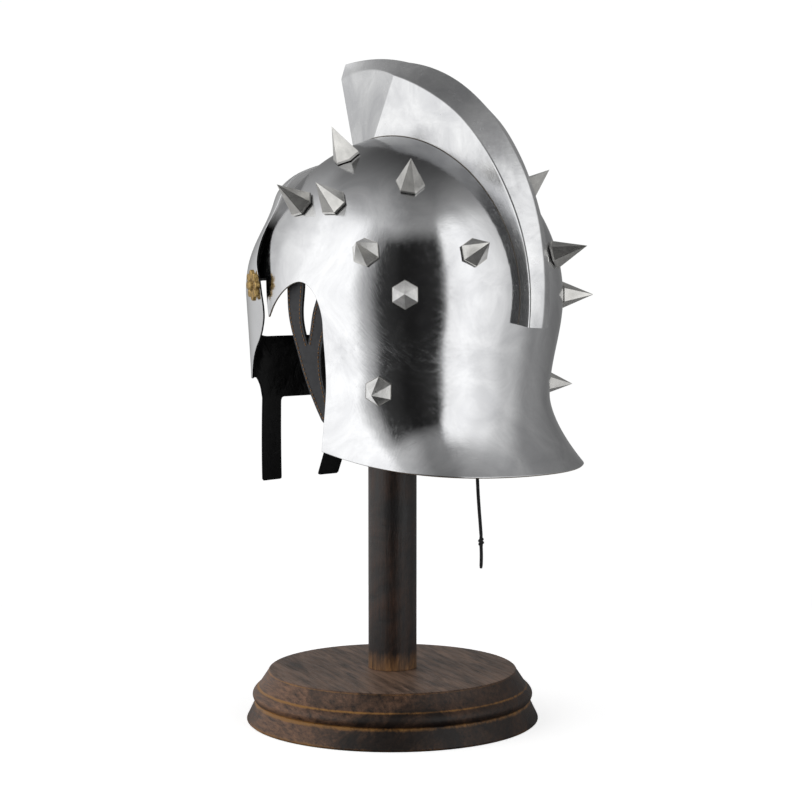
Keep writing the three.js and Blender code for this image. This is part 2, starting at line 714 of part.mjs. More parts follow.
// A leather strap along plan angles and heights, just inside the headband. Lower down it hangs
// freely, nearer to the head.
function strap(route) {
  const rings = route.map(([angle, height, share], i) => {
    const hang = THREE.MathUtils.clamp((BAND_LOW - height) / (BAND_LOW - NECK_HEIGHT), 0, 1);
    const straight = STRAP_TIP_INSET * hang - NECK_TUCK * Math.sin(hang * Math.PI / 2) ** 2;
    const inset = 4 * SEAT + LEATHER + straight;
    const here = new THREE.Vector2(radians(angle) * SKULL_HALF_WIDTH, height);
    const before = route[Math.max(0, i - 1)];
    const after = route[Math.min(route.length - 1, i + 1)];
    const along = new THREE.Vector2(
      radians(after[0] - before[0]) * SKULL_HALF_WIDTH, after[1] - before[1],
    ).normalize();
    const across = new THREE.Vector2(-along.y, along.x).multiplyScalar(share * STRAP_WIDTH / 2);
    const corner = (side, depth) => {
      const u = here.clone().addScaledVector(across, side);
      return linerPoint(THREE.MathUtils.radToDeg(u.x / SKULL_HALF_WIDTH), u.y, inset + depth);
    };
    return [corner(-1, 0), corner(1, 0), corner(1, LEATHER), corner(-1, LEATHER)];
  });
  return toSolid(loft(rings));
}

// Two arms from the headband that meet over the cheek and taper to one tip. Each row is a plan
// angle, the share of the drop below the headband and a share of the strap's width.
const STRAP_ARMS = [
  [
    [-5, 0.05, 1.05], [-6, 0.25, 0.9], [-5.5, 0.38, 0.82],
    [-3.6, 0.53, 0.84], [-1.2, 0.69, 0.95], [1.5, 0.84, 0.84], [6, 1, 0.6],
  ],
  [
    [12, 0.05, 0.95], [7.8, 0.25, 0.9], [5.4, 0.38, 0.84],
    [2.2, 0.53, 0.8], [1, 0.69, 0.84], [2.5, 0.84, 0.78], [6, 1, 0.55],
  ],
];

function cheekStrap() {
  const top = mix(BAND_LOW, BAND_HIGH, 0.6);
  const [front, rear] = STRAP_ARMS.map((rows) => {
    const below = rows.map(([angle, down, share]) => [angle, BAND_LOW - down * STRAP_DROP, share]);
    const [angle, , share] = rows[0];
    return [[angle, top, share], ...below];
  });
  return toGeometry(strap(front).add(strap(rear)));
}

function mirrored(geometry) {
  const copy = geometry.clone();
  copy.scale(-1, 1, 1);
  return outward(copy);
}

function lace() {
  const route = new THREE.CatmullRomCurve3(LACE_ROUTE.map(([x, y, z]) => new THREE.Vector3(x, y, z)));
  const sides = 8;
  const section = new THREE.Shape();
  for (let i = 0; i < sides; i++) {
    const turn = 2 * Math.PI * i / sides;
    const x = LACE_DIAMETER / 2 * Math.cos(turn);
    const y = LACE_DIAMETER / 2 * Math.sin(turn);
    if (i === 0) section.moveTo(x, y);
    else section.lineTo(x, y);
  }
  section.closePath();
  return new THREE.ExtrudeGeometry(section, { steps: 30, extrudePath: route, bevelEnabled: false });
}

// The knot under the lace's end, with the tail that hangs out of it.
function laceKnot() {
  const [x, y, z] = LACE_ROUTE[LACE_ROUTE.length - 1];
  const knot = new THREE.SphereGeometry(KNOT_RADIUS, 10, 8);
  knot.scale(1, KNOT_HEIGHT / 2 / KNOT_RADIUS, 1);
  const tail = new THREE.CylinderGeometry(LACE_DIAMETER / 2, LACE_DIAMETER / 2, LACE_TAIL, 8);
  tail.translate(0, -LACE_TAIL / 2 - KNOT_HEIGHT / 4, 0);
  const geometry = toGeometry(toSolid(knot).add(toSolid(tail)));
  geometry.rotateX(Math.PI / 2);
  geometry.translate(x, y, z - SEAT - KNOT_HEIGHT / 2);
  return geometry;
}

// Stand

function standBase() {
  const profile = [[0, 0], [FOOT_RADIUS, 0], [FOOT_RADIUS, FOOT_RIM], [COVE_RADIUS, COVE_HEIGHT]];
  const beadSteps = 6;
  for (let i = 0; i <= beadSteps; i++) {
    const height = mix(COVE_HEIGHT + 0.6, BEAD_TOP, i / beadSteps);
    const start = mix(COVE_RADIUS, SHOULDER_RADIUS, i / beadSteps);
    const bulge = BEAD_RADIUS - mix(COVE_RADIUS, SHOULDER_RADIUS, 0.5);
    profile.push([start + bulge * Math.sin(Math.PI * i / beadSteps), height]);
  }
  const lipSteps = 3;
  for (let i = 0; i <= lipSteps; i++) {
    const turn = Math.PI / 2 * i / lipSteps;
    profile.push([
      TABLE_RADIUS + TABLE_LIP * Math.cos(turn),
      BASE_HEIGHT - TABLE_LIP + TABLE_LIP * Math.sin(turn),
    ]);
  }
  profile.push([0, BASE_HEIGHT]);
  return lathe(profile, 40);
}

// Height of the skull's outer surface over a point.
function domeHeightAt(x, y) {
  const share = Math.hypot(x / SKULL_HALF_WIDTH, (y - SKULL_SETBACK) / SKULL_HALF_LENGTH);
  return SKULL_EQUATOR + DOME_HEIGHT * (1 - share ** DOME_FULLNESS) ** (1 / DOME_FULLNESS);
}

// The head's round top is steeper than the skull, which rests on it just behind the post.
function standHead() {
  const drop = (radius) => radius * radius / (2 * HEAD_ROUNDNESS);
  const samples = 90;
  let top = Infinity;
  for (let i = 0; i <= samples; i++) {
    const y = mix(-HEAD_RADIUS, HEAD_RADIUS, i / samples);
    const slope = Math.abs(y - SKULL_SETBACK) / DOME_HEIGHT;
    const under = domeHeightAt(0, y) - (SHEET + SEAT) * Math.hypot(1, slope) - SEAT;
    top = Math.min(top, under + drop(y));
  }
  const bottom = top - drop(HEAD_RADIUS) - HEAD_SKIRT;
  const profile = [[0, bottom], [HEAD_RADIUS - HEAD_CHAMFER, bottom], [HEAD_RADIUS, bottom + HEAD_CHAMFER]];
  const steps = 7;
  for (let i = 0; i < steps; i++) {
    const radius = HEAD_RADIUS * Math.cos(Math.PI / 2 * i / steps);
    profile.push([radius, top - drop(radius)]);
  }
  profile.push([0, top]);
  return { geometry: lathe(profile, 32), bottom };
}

// Assembly

add('stand_base', standBase(), WOOD);
const head = standHead();
add('stand_head', head.geometry, WOOD);
const postLength = head.bottom - BASE_HEIGHT - 2 * SEAT;
const post = new THREE.CylinderGeometry(POST_RADIUS, POST_RADIUS, postLength, 32);
post.rotateX(Math.PI / 2);
const postMesh = add('stand_post', post, WOOD);
postMesh.position.z = BASE_HEIGHT + SEAT + postLength / 2;

add('skull', skull(), STEEL);
add('crest', crest(), STEEL_CREST);
add('face_guard', faceGuard(), STEEL);

const SIDES = [{ name: 'left', sign: 1 }, { name: 'right', sign: -1 }];
const sideAngle = (angle, sign) => (sign > 0 ? angle : 180 - angle);

for (const { name, sign } of SIDES) {
  let number = 1;
  for (const { rise, angles } of SPIKE_ROWS) {
    const height = SKULL_EQUATOR + rise * (rise > 0 ? DOME_HEIGHT : NECK_DROP);
    for (const angle of angles) {
      const frame = domeFrame(sideAngle(angle, sign), height);
      const mesh = add(`spike_${name}_${number}`, spike(), STEEL_SPIKE);
      seatOn(mesh, frame.point, frame.normal, SEAT + skullProud(frame.point, frame.normal));
      number += 1;
    }
  }
  const angle = sideAngle(ROSETTE_ANGLE, sign);
  const height = SKULL_EQUATOR + ROSETTE_RISE;
  const surface = guardPoint(angle, height, SHEET);
  const beside = guardPoint(angle + 1, height, SHEET).sub(guardPoint(angle - 1, height, SHEET));
  const above = guardPoint(angle, height + 1, SHEET).sub(guardPoint(angle, height - 1, SHEET));
  seatOn(add(`rosette_${name}`, rosette(), BRASS), surface, beside.cross(above).normalize(), SEAT);
  const straps = cheekStrap();
  add(`liner_strap_${name}`, sign > 0 ? straps : mirrored(straps), LEATHER_FINISH);
}

add('liner_headband', headband(), LEATHER_FINISH);
add('lace', lace(), LACE_FINISH);
add('lace_knot', laceKnot(), LACE_FINISH);

export default helmet;
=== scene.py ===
# Looks of a gladiator helmet on its turned wooden stand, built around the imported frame.
# Shapes are worked out in millimetres from the part's own sizes and turned into metres at the end.

import math

import bpy
import bmesh
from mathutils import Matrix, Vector, geometry


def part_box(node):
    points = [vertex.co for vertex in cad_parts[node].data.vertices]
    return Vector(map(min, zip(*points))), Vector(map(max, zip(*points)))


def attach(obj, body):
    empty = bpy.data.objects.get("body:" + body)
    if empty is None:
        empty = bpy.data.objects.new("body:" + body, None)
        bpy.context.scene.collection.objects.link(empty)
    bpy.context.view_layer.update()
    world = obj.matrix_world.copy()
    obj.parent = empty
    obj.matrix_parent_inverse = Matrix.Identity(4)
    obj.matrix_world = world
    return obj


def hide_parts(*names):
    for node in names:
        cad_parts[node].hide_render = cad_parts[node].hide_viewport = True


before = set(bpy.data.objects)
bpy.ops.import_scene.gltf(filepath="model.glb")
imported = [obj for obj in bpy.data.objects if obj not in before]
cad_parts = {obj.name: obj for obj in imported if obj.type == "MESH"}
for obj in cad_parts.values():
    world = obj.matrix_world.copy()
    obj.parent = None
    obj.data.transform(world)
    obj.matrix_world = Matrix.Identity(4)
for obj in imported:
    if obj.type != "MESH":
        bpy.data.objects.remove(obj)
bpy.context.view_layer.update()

MM = 0.001

# Sizes shared with the part, in millimetres and degrees
SEAT = 0.3
SKULL_SETBACK = 16
SKULL_HALF_WIDTH = 113.5
SKULL_HALF_LENGTH = 112.5
SKULL_EQUATOR = 314
DOME_HEIGHT = 118
DOME_FULLNESS = 1.95
SHEET = 1.6
NECK_DROP = 72
NECK_HEIGHT = SKULL_EQUATOR - NECK_DROP
NECK_TUCK = 9.5
FLARE_DROP = 50
RIM_BACK = NECK_HEIGHT - FLARE_DROP
RIM_RISE = 18.2
RIM_CURVE = 1.4
FLARE = 27
FLARE_CURVE = 1.6
FLARE_START = 30
FLARE_END = 92
EAR_BACK = 20
EAR_FOOT = 12.5
EAR_RISE = 10
EAR_CROWN = SKULL_EQUATOR + EAR_RISE
EAR_ARCH = 28
TEMPLE_TIP = 37
TEMPLE_DROP = 25
TEMPLE_CURVE = 1.7
BROW_SHARE = 0.635
BROW_HEIGHT = SKULL_EQUATOR + BROW_SHARE * DOME_HEIGHT
GUARD_LIFT = 4.2
BROW_LIFT = 2
BROW_ROLL = 6.5
BROW_TURN_IN = 14
GUARD_SHARE = 0.85
GUARD_TOP = SKULL_EQUATOR + GUARD_SHARE * DOME_HEIGHT
BROW_ROLL_HEIGHT = GUARD_TOP - 1.45 * BROW_TURN_IN
GUARD_HALF_WIDTH = 90
GUARD_FRONT = 101
CHIN_FRONT = 113
GUARD_SQUARENESS = 4
EYE_RISE = 12
EYE_TOP = SKULL_EQUATOR + EYE_RISE
EYE_OPENING = 42
EYE_BOTTOM = EYE_TOP - EYE_OPENING
EYE_HALF_WIDTH = 74
EYE_CORNER = 32
BAND_WIDTH = 46
BAND_BOTTOM = EYE_BOTTOM - BAND_WIDTH
BAND_CORNER = 16
BAR_TOP_OFFSET = 44.5
BAR_BOTTOM_OFFSET = 30.5
BAR_WIDTH = 24.5
BAR_TIP_WIDTH = 21
BAR_LENGTH = 64
BAR_BOTTOM = BAND_BOTTOM - BAR_LENGTH
CREST_HEIGHT = 49
CREST_HALF_WIDTH = 24
CREST_FLARE = 1.2
ROSETTE_RADIUS = 11
ROSETTE_THICKNESS = 2.6
ROSETTE_ANGLE = -25
ROSETTE_RISE = 8
LEATHER = 2
BAND_RISE = 13
BAND_DEPTH = 25
BAND_LOW = SKULL_EQUATOR + BAND_RISE
BAND_HIGH = BAND_LOW + BAND_DEPTH
STRAP_WIDTH = 18
STRAP_DROP = 99
STRAP_TIP_INSET = 12
LACE_DIAMETER = 2.4
LACE_TAIL = 15
KNOT_HEIGHT = 8
FOOT_RADIUS = 108.6
FOOT_RIM = 1.5
COVE_RADIUS = 102.2
COVE_HEIGHT = 14.6
BEAD_RADIUS = 104.2
BEAD_TOP = 25
SHOULDER_RADIUS = 100
TABLE_RADIUS = 91
TABLE_LIP = 1.6
BASE_HEIGHT = 37.6

# Camera, fitted to the photo
CAMERA_AZIMUTH = 132
CAMERA_DISTANCE = 1350
CAMERA_HEIGHT = 315
CAMERA_ASIDE = 10.06
CAMERA_PITCH = 3.48
CAMERA_LENS = 80.91
CAMERA_SENSOR = 36
# Level directions towards the camera and to its right
TO_CAMERA = Vector((math.sin(math.radians(CAMERA_AZIMUTH)), -math.cos(math.radians(CAMERA_AZIMUTH)), 0))
ASIDE = Vector((-TO_CAMERA.y, TO_CAMERA.x, 0))

SIDES = ((1, "left"), (-1, "right"))
# A point inside the helmet, from which all its sheets face outward
INSIDE = Vector((0, SKULL_SETBACK, 280))

# Spacing of the points on a sheet's outline, and within it
SKULL_SPACING = (2.2, 3.4)
GUARD_SPACING = (1.8, 2.7)
STRAP_SPACING = (1.3, 2.2)


def mix(a, b, share):
    return a + (b - a) * share


def smooth(value, low, high):
    share = min(1, max(0, (value - low) / (high - low)))
    return share * share * (3 - 2 * share)


def halved(low, high, before):
    """The place between two numbers up to which a test holds, found by halving."""
    for _ in range(40):
        middle = (low + high) / 2
        if before(middle):
            low = middle
        else:
            high = middle
    return low


def bent(start, corner, end, steps):
    """Points of a short curve from start to end that rounds a corner."""
    shares = [step / steps for step in range(steps + 1)]
    return [start * (1 - t) ** 2 + corner * 2 * t * (1 - t) + end * t * t for t in shares]


# Camera and lace


def make_camera():
    place = TO_CAMERA * CAMERA_DISTANCE + ASIDE * CAMERA_ASIDE + Vector((0, 0, CAMERA_HEIGHT))
    camera = bpy.data.objects.new("camera", bpy.data.cameras.new("camera"))
    bpy.context.scene.collection.objects.link(camera)
    camera.location = place * MM
    camera.rotation_euler = (math.radians(90 - CAMERA_PITCH), 0, math.radians(CAMERA_AZIMUTH))
    camera.data.lens = CAMERA_LENS
    camera.data.sensor_width = CAMERA_SENSOR
    bpy.context.scene.camera = camera


LACE_ROUTE = [
    (37.1, 118.1, 326.2), (37.2, 118.2, 314), (37.1, 117.9, 302), (36.5, 116.4, 290),
    (35.8, 114.3, 278), (34.9, 111.9, 266), (34.3, 110.3, 254), (34.0, 109.5, 242),
    (33.9, 109.3, 230), (33.8, 109.3, 218), (33.6, 109.4, 206), (33.3, 109.5, 194),
    (32.8, 109.7, 182), (32.0, 110.0, 170), (30.9, 110.3, 158), (30.1, 110.5, 149),
]


def spline(points, steps):
    """Points of a smooth curve through a list of points, with a number of steps between two."""
    points = [Vector(point) for point in points]
    curve = []
    for i in range(len(points) - 1):
        before = points[max(0, i - 1)]
        start, end = points[i], points[i + 1]
        after = points[min(len(points) - 1, i + 2)]
        for step in range(steps):
            t = step / steps
            curve.append(
                0.5 * (2 * start + (end - before) * t
                       + (2 * before - 5 * start + 4 * end - after) * t * t
                       + (3 * start - before - 3 * end + after) * t * t * t)
            )
    curve.append(points[-1])
    return curve


# Meshes


def new_object(name, points, faces, materials):
    """A smooth mesh object from points in millimetres."""
    mesh = bpy.data.meshes.new(name)
    mesh.from_pydata([Vector(point) * MM for point in points], [], faces)
    mesh.validate()
    mesh.polygons.foreach_set("use_smooth", [True] * len(mesh.polygons))
    for material in materials:
        mesh.materials.append(material)
    made = bpy.data.objects.new(name, mesh)
    bpy.context.scene.collection.objects.link(made)
    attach(made, "root")
    return made


def grid_faces(rows, wide, loop=True):
    """Faces between rows of points, where each row is a closed loop or an open line."""
    faces = []
    for start in range(0, (rows - 1) * wide, wide):
        for j in range(wide if loop else wide - 1):
            k = (j + 1) % wide
            faces.append((start + j, start + k, start + wide + k, start + wide + j))
    return faces


EDGE_SEGMENTS = 3
EDGE_ANGLE = 50
SKULL_EDGE = 0.5
GUARD_SHEET_EDGE = 0.45
LEATHER_EDGE = 0.5


def thicken(made, thickness, bevel, inner=0, rim=0):
    """Gives a surface its sheet thickness inward, with rounded edges."""
    solid = made.modifiers.new("sheet", "SOLIDIFY")
    solid.thickness = thickness * MM
    solid.offset = -1
    solid.use_even_offset = True
    solid.material_offset = inner
    solid.material_offset_rim = rim
    edge = made.modifiers.new("edges", "BEVEL")
    edge.width = bevel * MM
    edge.segments = EDGE_SEGMENTS
    edge.limit_method = "ANGLE"
    edge.angle_limit = math.radians(EDGE_ANGLE)
    edge.harden_normals = True


LONGEST_CUT = 0.45
CORNER_STEPS = 5


def rounded(points):
    """A closed outline with its corners rounded. The points are flat, with a radius as z."""
    result = []
    count = len(points)
    for i, point in enumerate(points):
        here = point.to_2d()
        into = points[i - 1].to_2d() - here
        out = points[(i + 1) % count].to_2d() - here
        cut = min(point.z, into.length * LONGEST_CUT, out.length * LONGEST_CUT)
        if cut <= 0:
            result.append(here)
        else:
            start, end = here + into.normalized() * cut, here + out.normalized() * cut
            result += bent(start, here, end, CORNER_STEPS)
    return result


def evenly(points, spacing, closed=True):
    """An outline with points at an even spacing along it."""
    points = [Vector(point) for point in points]
    loop = points + points[:1] if closed else points
    lengths = [(b - a).length for a, b in zip(loop, loop[1:])]
    count = max(3, round(sum(lengths) / spacing))
    step = sum(lengths) / count
    result = []
    walked, next_at = 0.0, 0.0
    for (a, b), length in zip(zip(loop, loop[1:]), lengths):
        while next_at < walked + length - 1e-9 and len(result) < count:
            result.append(a.lerp(b, (next_at - walked) / length))
            next_at += step
        walked += length
    if not closed:
        result.append(points[-1])
    return result


def mirrored(point):
    return Vector((-point.x, point.y, point.z))


def inside(point, outline):
    hit = False
    x, y = point
    for (ax, ay), (bx, by) in zip(outline, outline[1:] + outline[:1]):
        if (ay > y) != (by > y) and x < (bx - ax) * (y - ay) / (by - ay) + ax:
            hit = not hit
    return hit


def filled(outlines, spacing):
    """Triangles that fill the first outline without the others, on an even lattice."""
    edges, points = [], []
    for outline in outlines:
        start = len(points)
        points += [Vector(point) for point in outline]
        edges += [(start + i, start + (i + 1) % len(outline)) for i in range(len(outline))]
    borders = list(points)
    cell = spacing
    grid = {}
    for point in borders:
        grid.setdefault((int(point.x // cell), int(point.y // cell)), []).append(point)
    low_x, high_x = min(p.x for p in points), max(p.x for p in points)
    low_y, high_y = min(p.y for p in points), max(p.y for p in points)
    tuples = [[tuple(point) for point in outline] for outline in outlines]
    row_height = spacing * math.sqrt(3) / 2
    for row in range(int((high_y - low_y) / row_height) + 1):
        y = low_y + row * row_height
        crossings = []
        for outline in tuples:
            for (ax, ay), (bx, by) in zip(outline, outline[1:] + outline[:1]):
                if (ay > y) != (by > y):
                    crossings.append((bx - ax) * (y - ay) / (by - ay) + ax)
        crossings.sort()
        for start, end in zip(crossings[::2], crossings[1::2]):
            first = math.ceil((start - low_x) / spacing - 0.5 * (row % 2))
            x = low_x + (first + 0.5 * (row % 2)) * spacing
            while x < end:
                key = (int(x // cell), int(y // cell))
                near = (
                    math.hypot(x - point.x, y - point.y) < 0.55 * spacing
                    for i in (-1, 0, 1) for j in (-1, 0, 1)
                    for point in grid.get((key[0] + i, key[1] + j), ())
                )
                if not any(near):
                    points.append(Vector((x, y)))
                x += spacing
    made = geometry.delaunay_2d_cdt(points, edges, [], 2, 1e-6)
    faces = []
    for face in made[2]:
        centre = sum((made[0][i] for i in face), Vector((0, 0))) / len(face)
        if not any(inside(centre, hole) for hole in tuples[1:]):
            faces.append(face)
    return made[0], faces


# Skull surface, as in the part


def skull_share(height):
    if height >= SKULL_EQUATOR:
        rise = min(1, (height - SKULL_EQUATOR) / DOME_HEIGHT)
        return (1 - rise ** DOME_FULLNESS) ** (1 / DOME_FULLNESS)
    drop = min(1, (SKULL_EQUATOR - height) / NECK_DROP)
    return 1 - NECK_TUCK / SKULL_HALF_WIDTH * math.sin(drop * math.pi / 2) ** 2


def angle_from_back(angle):
    return abs((angle - 90 + 180) % 360 - 180)


def rim_height(angle):
    side = min(90, angle_from_back(angle))
    return RIM_BACK + RIM_RISE * (1 - math.cos(math.radians(side))) ** RIM_CURVE


def skull_point(angle, height):
    share = skull_share(height)
    out = 0
    if height < NECK_HEIGHT:
        drop = (NECK_HEIGHT - height) / FLARE_DROP
        fade = 1 - smooth(angle_from_back(angle), FLARE_START, FLARE_END)
        out = FLARE * drop ** FLARE_CURVE * fade
    turn = math.radians(angle)
    return Vector((
        (SKULL_HALF_WIDTH * share + out) * math.cos(turn),
        (SKULL_HALF_LENGTH * share + out) * math.sin(turn) + SKULL_SETBACK,
        height,
    ))


def skull_normal(angle, height):
    step = 0.3
    along = skull_point(angle + step, height) - skull_point(angle - step, height)
    up = skull_point(angle, height + step) - skull_point(angle, height - step)
    return along.cross(up).normalized()


# The skull is laid out flat round its crown: distance from the crown along the wall, and plan angle


PROFILE_STEPS = 600
DOME_STEPS_SHARE = 0.6


def meridian():
    """Heights and their distances from the crown along the skull's wall."""
    rows = [(SKULL_EQUATOR + DOME_HEIGHT, 0.0)]
    last = (0.0, SKULL_EQUATOR + DOME_HEIGHT)
    travelled = 0.0
    for i in range(1, PROFILE_STEPS + 1):
        share = i / PROFILE_STEPS
        if share < DOME_STEPS_SHARE:
            turn = math.pi / 2 * share / DOME_STEPS_SHARE
            height = SKULL_EQUATOR + DOME_HEIGHT * math.cos(turn)
        else:
            below = (share - DOME_STEPS_SHARE) / (1 - DOME_STEPS_SHARE)
            height = mix(SKULL_EQUATOR, RIM_BACK - FLARE_DROP, below)
        here = (SKULL_HALF_WIDTH * skull_share(height), height)
        travelled += math.hypot(here[0] - last[0], here[1] - last[1])
        rows.append((height, travelled))
        last = here
    return rows


MERIDIAN = meridian()


def looked_up(value, known, wanted):
    """One column of the meridian at a value of its other column."""
    low, high = 0, len(MERIDIAN) - 1
    rising = MERIDIAN[high][known] > MERIDIAN[low][known]
    while high - low > 1:
        middle = (low + high) // 2
        if (MERIDIAN[middle][known] < value) == rising:
            low = middle
        else:
            high = middle
    near, far = MERIDIAN[low], MERIDIAN[high]
    return mix(near[wanted], far[wanted], (value - near[known]) / (far[known] - near[known]))


def flat_distance(height):
    return looked_up(height, 0, 1)


def height_at(distance):
    return looked_up(distance, 1, 0)


def laid_flat(angle, height):
    distance = flat_distance(height)
    turn = math.radians(angle)
    return Vector((distance * math.cos(turn), distance * math.sin(turn)))


def side_angle(back, height):
    """Plan angle on the wearer's left where the skull is this far behind its axis."""
    reach = SKULL_HALF_LENGTH * skull_share(height)
    return math.degrees(math.asin(max(-1, min(1, back / reach))))


FOREHEAD_EDGE = [(0.05, 0.3), (0.19, 0.53), (0.32, 0.74), (0.56, 0.93)]


def face_edge():
    """The skull's front edge on the left, as distances behind the axis and heights."""
    spring = EAR_CROWN - EAR_ARCH
    temple = EAR_CROWN - TEMPLE_DROP
    edge = [(EAR_FOOT, rim_height(side_angle(EAR_FOOT, RIM_BACK)))]
    for i in range(1, 20):
        edge.append((mix(EAR_FOOT, EAR_BACK, i / 20), mix(edge[0][1], spring, i / 20)))
    for i in range(31):
        turn = math.pi / 2 * i / 30
        edge.append((EAR_BACK * math.cos(turn), mix(spring, EAR_CROWN, math.sin(turn))))
    for i in range(1, 25):
        share = i / 24
        edge.append((-TEMPLE_TIP * share, mix(EAR_CROWN, temple, share ** TEMPLE_CURVE)))
    forehead = [(-TEMPLE_TIP, temple)]
    for ahead, rise in FOREHEAD_EDGE:
        forehead.append((-mix(TEMPLE_TIP, SKULL_HALF_LENGTH, ahead), mix(temple, BROW_HEIGHT, rise)))
    forehead.append((-SKULL_HALF_LENGTH * skull_share(BROW_HEIGHT), BROW_HEIGHT))
    return edge, [tuple(point) for point in spline(forehead, 12)[1:]]


EDGE_LINE_INSET = 7
EDGE_LINE_DEPTH = 0.3
EDGE_LINE_WIDTH = 1.3


def make_skull(materials):
    edge, forehead = face_edge()
    left = [laid_flat(side_angle(back, height), height) for back, height in edge + forehead]
    right = [Vector((-point.x, point.y)) for point in reversed(left)]
    first = side_angle(*edge[0])
    rim_angles = [mix(180 - first, first, i / 260) for i in range(1, 260)]
    rim = [laid_flat(angle, rim_height(angle)) for angle in rim_angles]
    outline = evenly(left + right + rim, SKULL_SPACING[0])
    flat, faces = filled([outline], SKULL_SPACING[1])
    marks = [laid_flat(side_angle(back, height), height) for back, height in forehead]
    marks += [Vector((-point.x, point.y)) for point in marks]
    points = []
    for point in flat:
        angle = math.degrees(math.atan2(point.y, point.x))
        height = height_at(point.length)
        place = skull_point(angle, height)
        if point.y < 0:
            gap = min((point - mark).length for mark in marks)
            press = math.exp(-((gap - EDGE_LINE_INSET) / EDGE_LINE_WIDTH) ** 2)
            place -= skull_normal(angle, height) * EDGE_LINE_DEPTH * press
        points.append(place)
    skull = new_object("skull_sheet", points, faces, materials)
    face_out(skull)
    thicken(skull, SHEET, SKULL_EDGE, inner=1, rim=2)
    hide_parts("skull")


def face_out(made):
    """Turns a surface's faces away from the inside of the helmet."""
    bm = bmesh.new()
    bm.from_mesh(made.data)
    for face in bm.faces:
        if face.normal.dot(face.calc_center_median() - INSIDE * MM) < 0:
            face.normal_flip()
    bm.to_mesh(made.data)
    bm.free()


# Face guard


def guard_radius(angle, height):
    c, s = abs(math.cos(math.radians(angle))), abs(math.sin(math.radians(angle)))
    share = skull_share(max(height, SKULL_EQUATOR))
    roll = BROW_ROLL * math.exp(-((height - BROW_ROLL_HEIGHT) / BROW_TURN_IN) ** 2)
    proud = mix(GUARD_LIFT, BROW_LIFT, smooth(height, EYE_TOP + 10, mix(EYE_TOP, GUARD_TOP, 0.5)))
    lift = SEAT + (proud + roll) * (1 - smooth(height, GUARD_TOP - BROW_TURN_IN, GUARD_TOP))
    upper = 1 / math.hypot(c / (SKULL_HALF_WIDTH * share), s / (SKULL_HALF_LENGTH * share)) + lift
    front = mix(CHIN_FRONT, GUARD_FRONT, min(1, (height - BAR_BOTTOM) / BAR_LENGTH))
    power = GUARD_SQUARENESS
    lower = ((c / GUARD_HALF_WIDTH) ** power + (s / front) ** power) ** (-1 / power)
    return mix(lower, upper, smooth(height, BAND_BOTTOM, EYE_TOP + 10))


def guard_point(angle, height, offset):
    radius = guard_radius(angle, height) + offset
    turn = math.radians(angle)
    return Vector((radius * math.cos(turn), SKULL_SETBACK + radius * math.sin(turn), height))


def guard_angle(height, x=None, back=None):
    """Plan angle on the guard's left half at an x, or at a distance behind the skull axis."""

    def short(angle):
        place = guard_point(angle, height, SHEET)
        return place.x < x if x is not None else place.y - SKULL_SETBACK < back

    return halved(-90.0, -2.0, short)


GUARD_FLAT = 110
GUARD_EDGE = [
    (GUARD_TOP, EYE_TOP, [(0.515, 0), (0.41, 0.17), (0.39, 0.32), (0.49, 0.58), (0.46, 0.81)]),
    (EYE_TOP, EYE_BOTTOM, [(0.38, 0), (0.373, 0.35), (0.395, 0.6), (0.445, 0.8)]),
    (EYE_BOTTOM, BAND_BOTTOM, [(0.515, 0), (0.595, 0.16), (0.667, 0.36), (0.72, 0.64), (0.747, 0.96)]),
]


def guard_flat(angle, height):
    return Vector((math.radians(angle + 90) * GUARD_FLAT, height))


def guard_outline():
    rear = []
    for top, bottom, rows in GUARD_EDGE:
        rear += [(-ahead * SKULL_HALF_LENGTH, mix(top, bottom, down)) for ahead, down in rows]
    corner = BAND_BOTTOM + BAND_CORNER
    edge = [point for point in spline(rear, 8) if point.y > corner]
    left = [guard_flat(guard_angle(point.y, back=point.x), point.y).to_3d() for point in edge]
    left.append(Vector((left[-1].x - 0.5, corner, 4)))
    half, tip = BAR_WIDTH / 2, BAR_TIP_WIDTH / 2
    lower = [
        (BAR_TOP_OFFSET + half + BAND_CORNER / 3, corner, 3),
        (BAR_TOP_OFFSET + half, mix(BAND_BOTTOM, corner, 0.6), 3),
        (BAR_BOTTOM_OFFSET + tip, BAR_BOTTOM, 1.5),
        (BAR_BOTTOM_OFFSET - tip, BAR_BOTTOM, 1.5),
        (BAR_TOP_OFFSET - half, BAND_BOTTOM, 3),
    ]
    for x, height, radius in lower:
        place = guard_flat(guard_angle(height, x=x), height)
        left.append(Vector((place.x, place.y, radius)))
    return rounded(left + [mirrored(point) for point in reversed(left)])


def eye_outline():
    middle, half = (EYE_TOP + EYE_BOTTOM) / 2, EYE_OPENING / 2
    start = EYE_HALF_WIDTH - EYE_CORNER
    left = [(x, EYE_TOP) for x in range(0, start, 3)]
    for i in range(41):
        turn = math.pi / 2 - math.pi * i / 40
        left.append((start + EYE_CORNER * math.cos(turn), middle + half * math.sin(turn)))
    left += [(x, EYE_BOTTOM) for x in range(start - 3, -1, -3)]
    flat = [guard_flat(guard_angle(height, x=x) if x > 0 else -90, height) for x, height in left]
    return flat + [Vector((-point.x, point.y)) for point in reversed(flat)]


def make_guard(materials):
    outlines = [evenly(outline, GUARD_SPACING[0]) for outline in (guard_outline(), eye_outline())]
    flat, faces = filled(outlines, GUARD_SPACING[1])
    points = [
        guard_point(math.degrees(point.x / GUARD_FLAT) - 90, point.y, SHEET) for point in flat
    ]
    guard = new_object("face_guard_sheet", points, faces, materials)
    face_out(guard)
    thicken(guard, SHEET, GUARD_SHEET_EDGE, inner=1, rim=2)
    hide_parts("face_guard")


# Crest


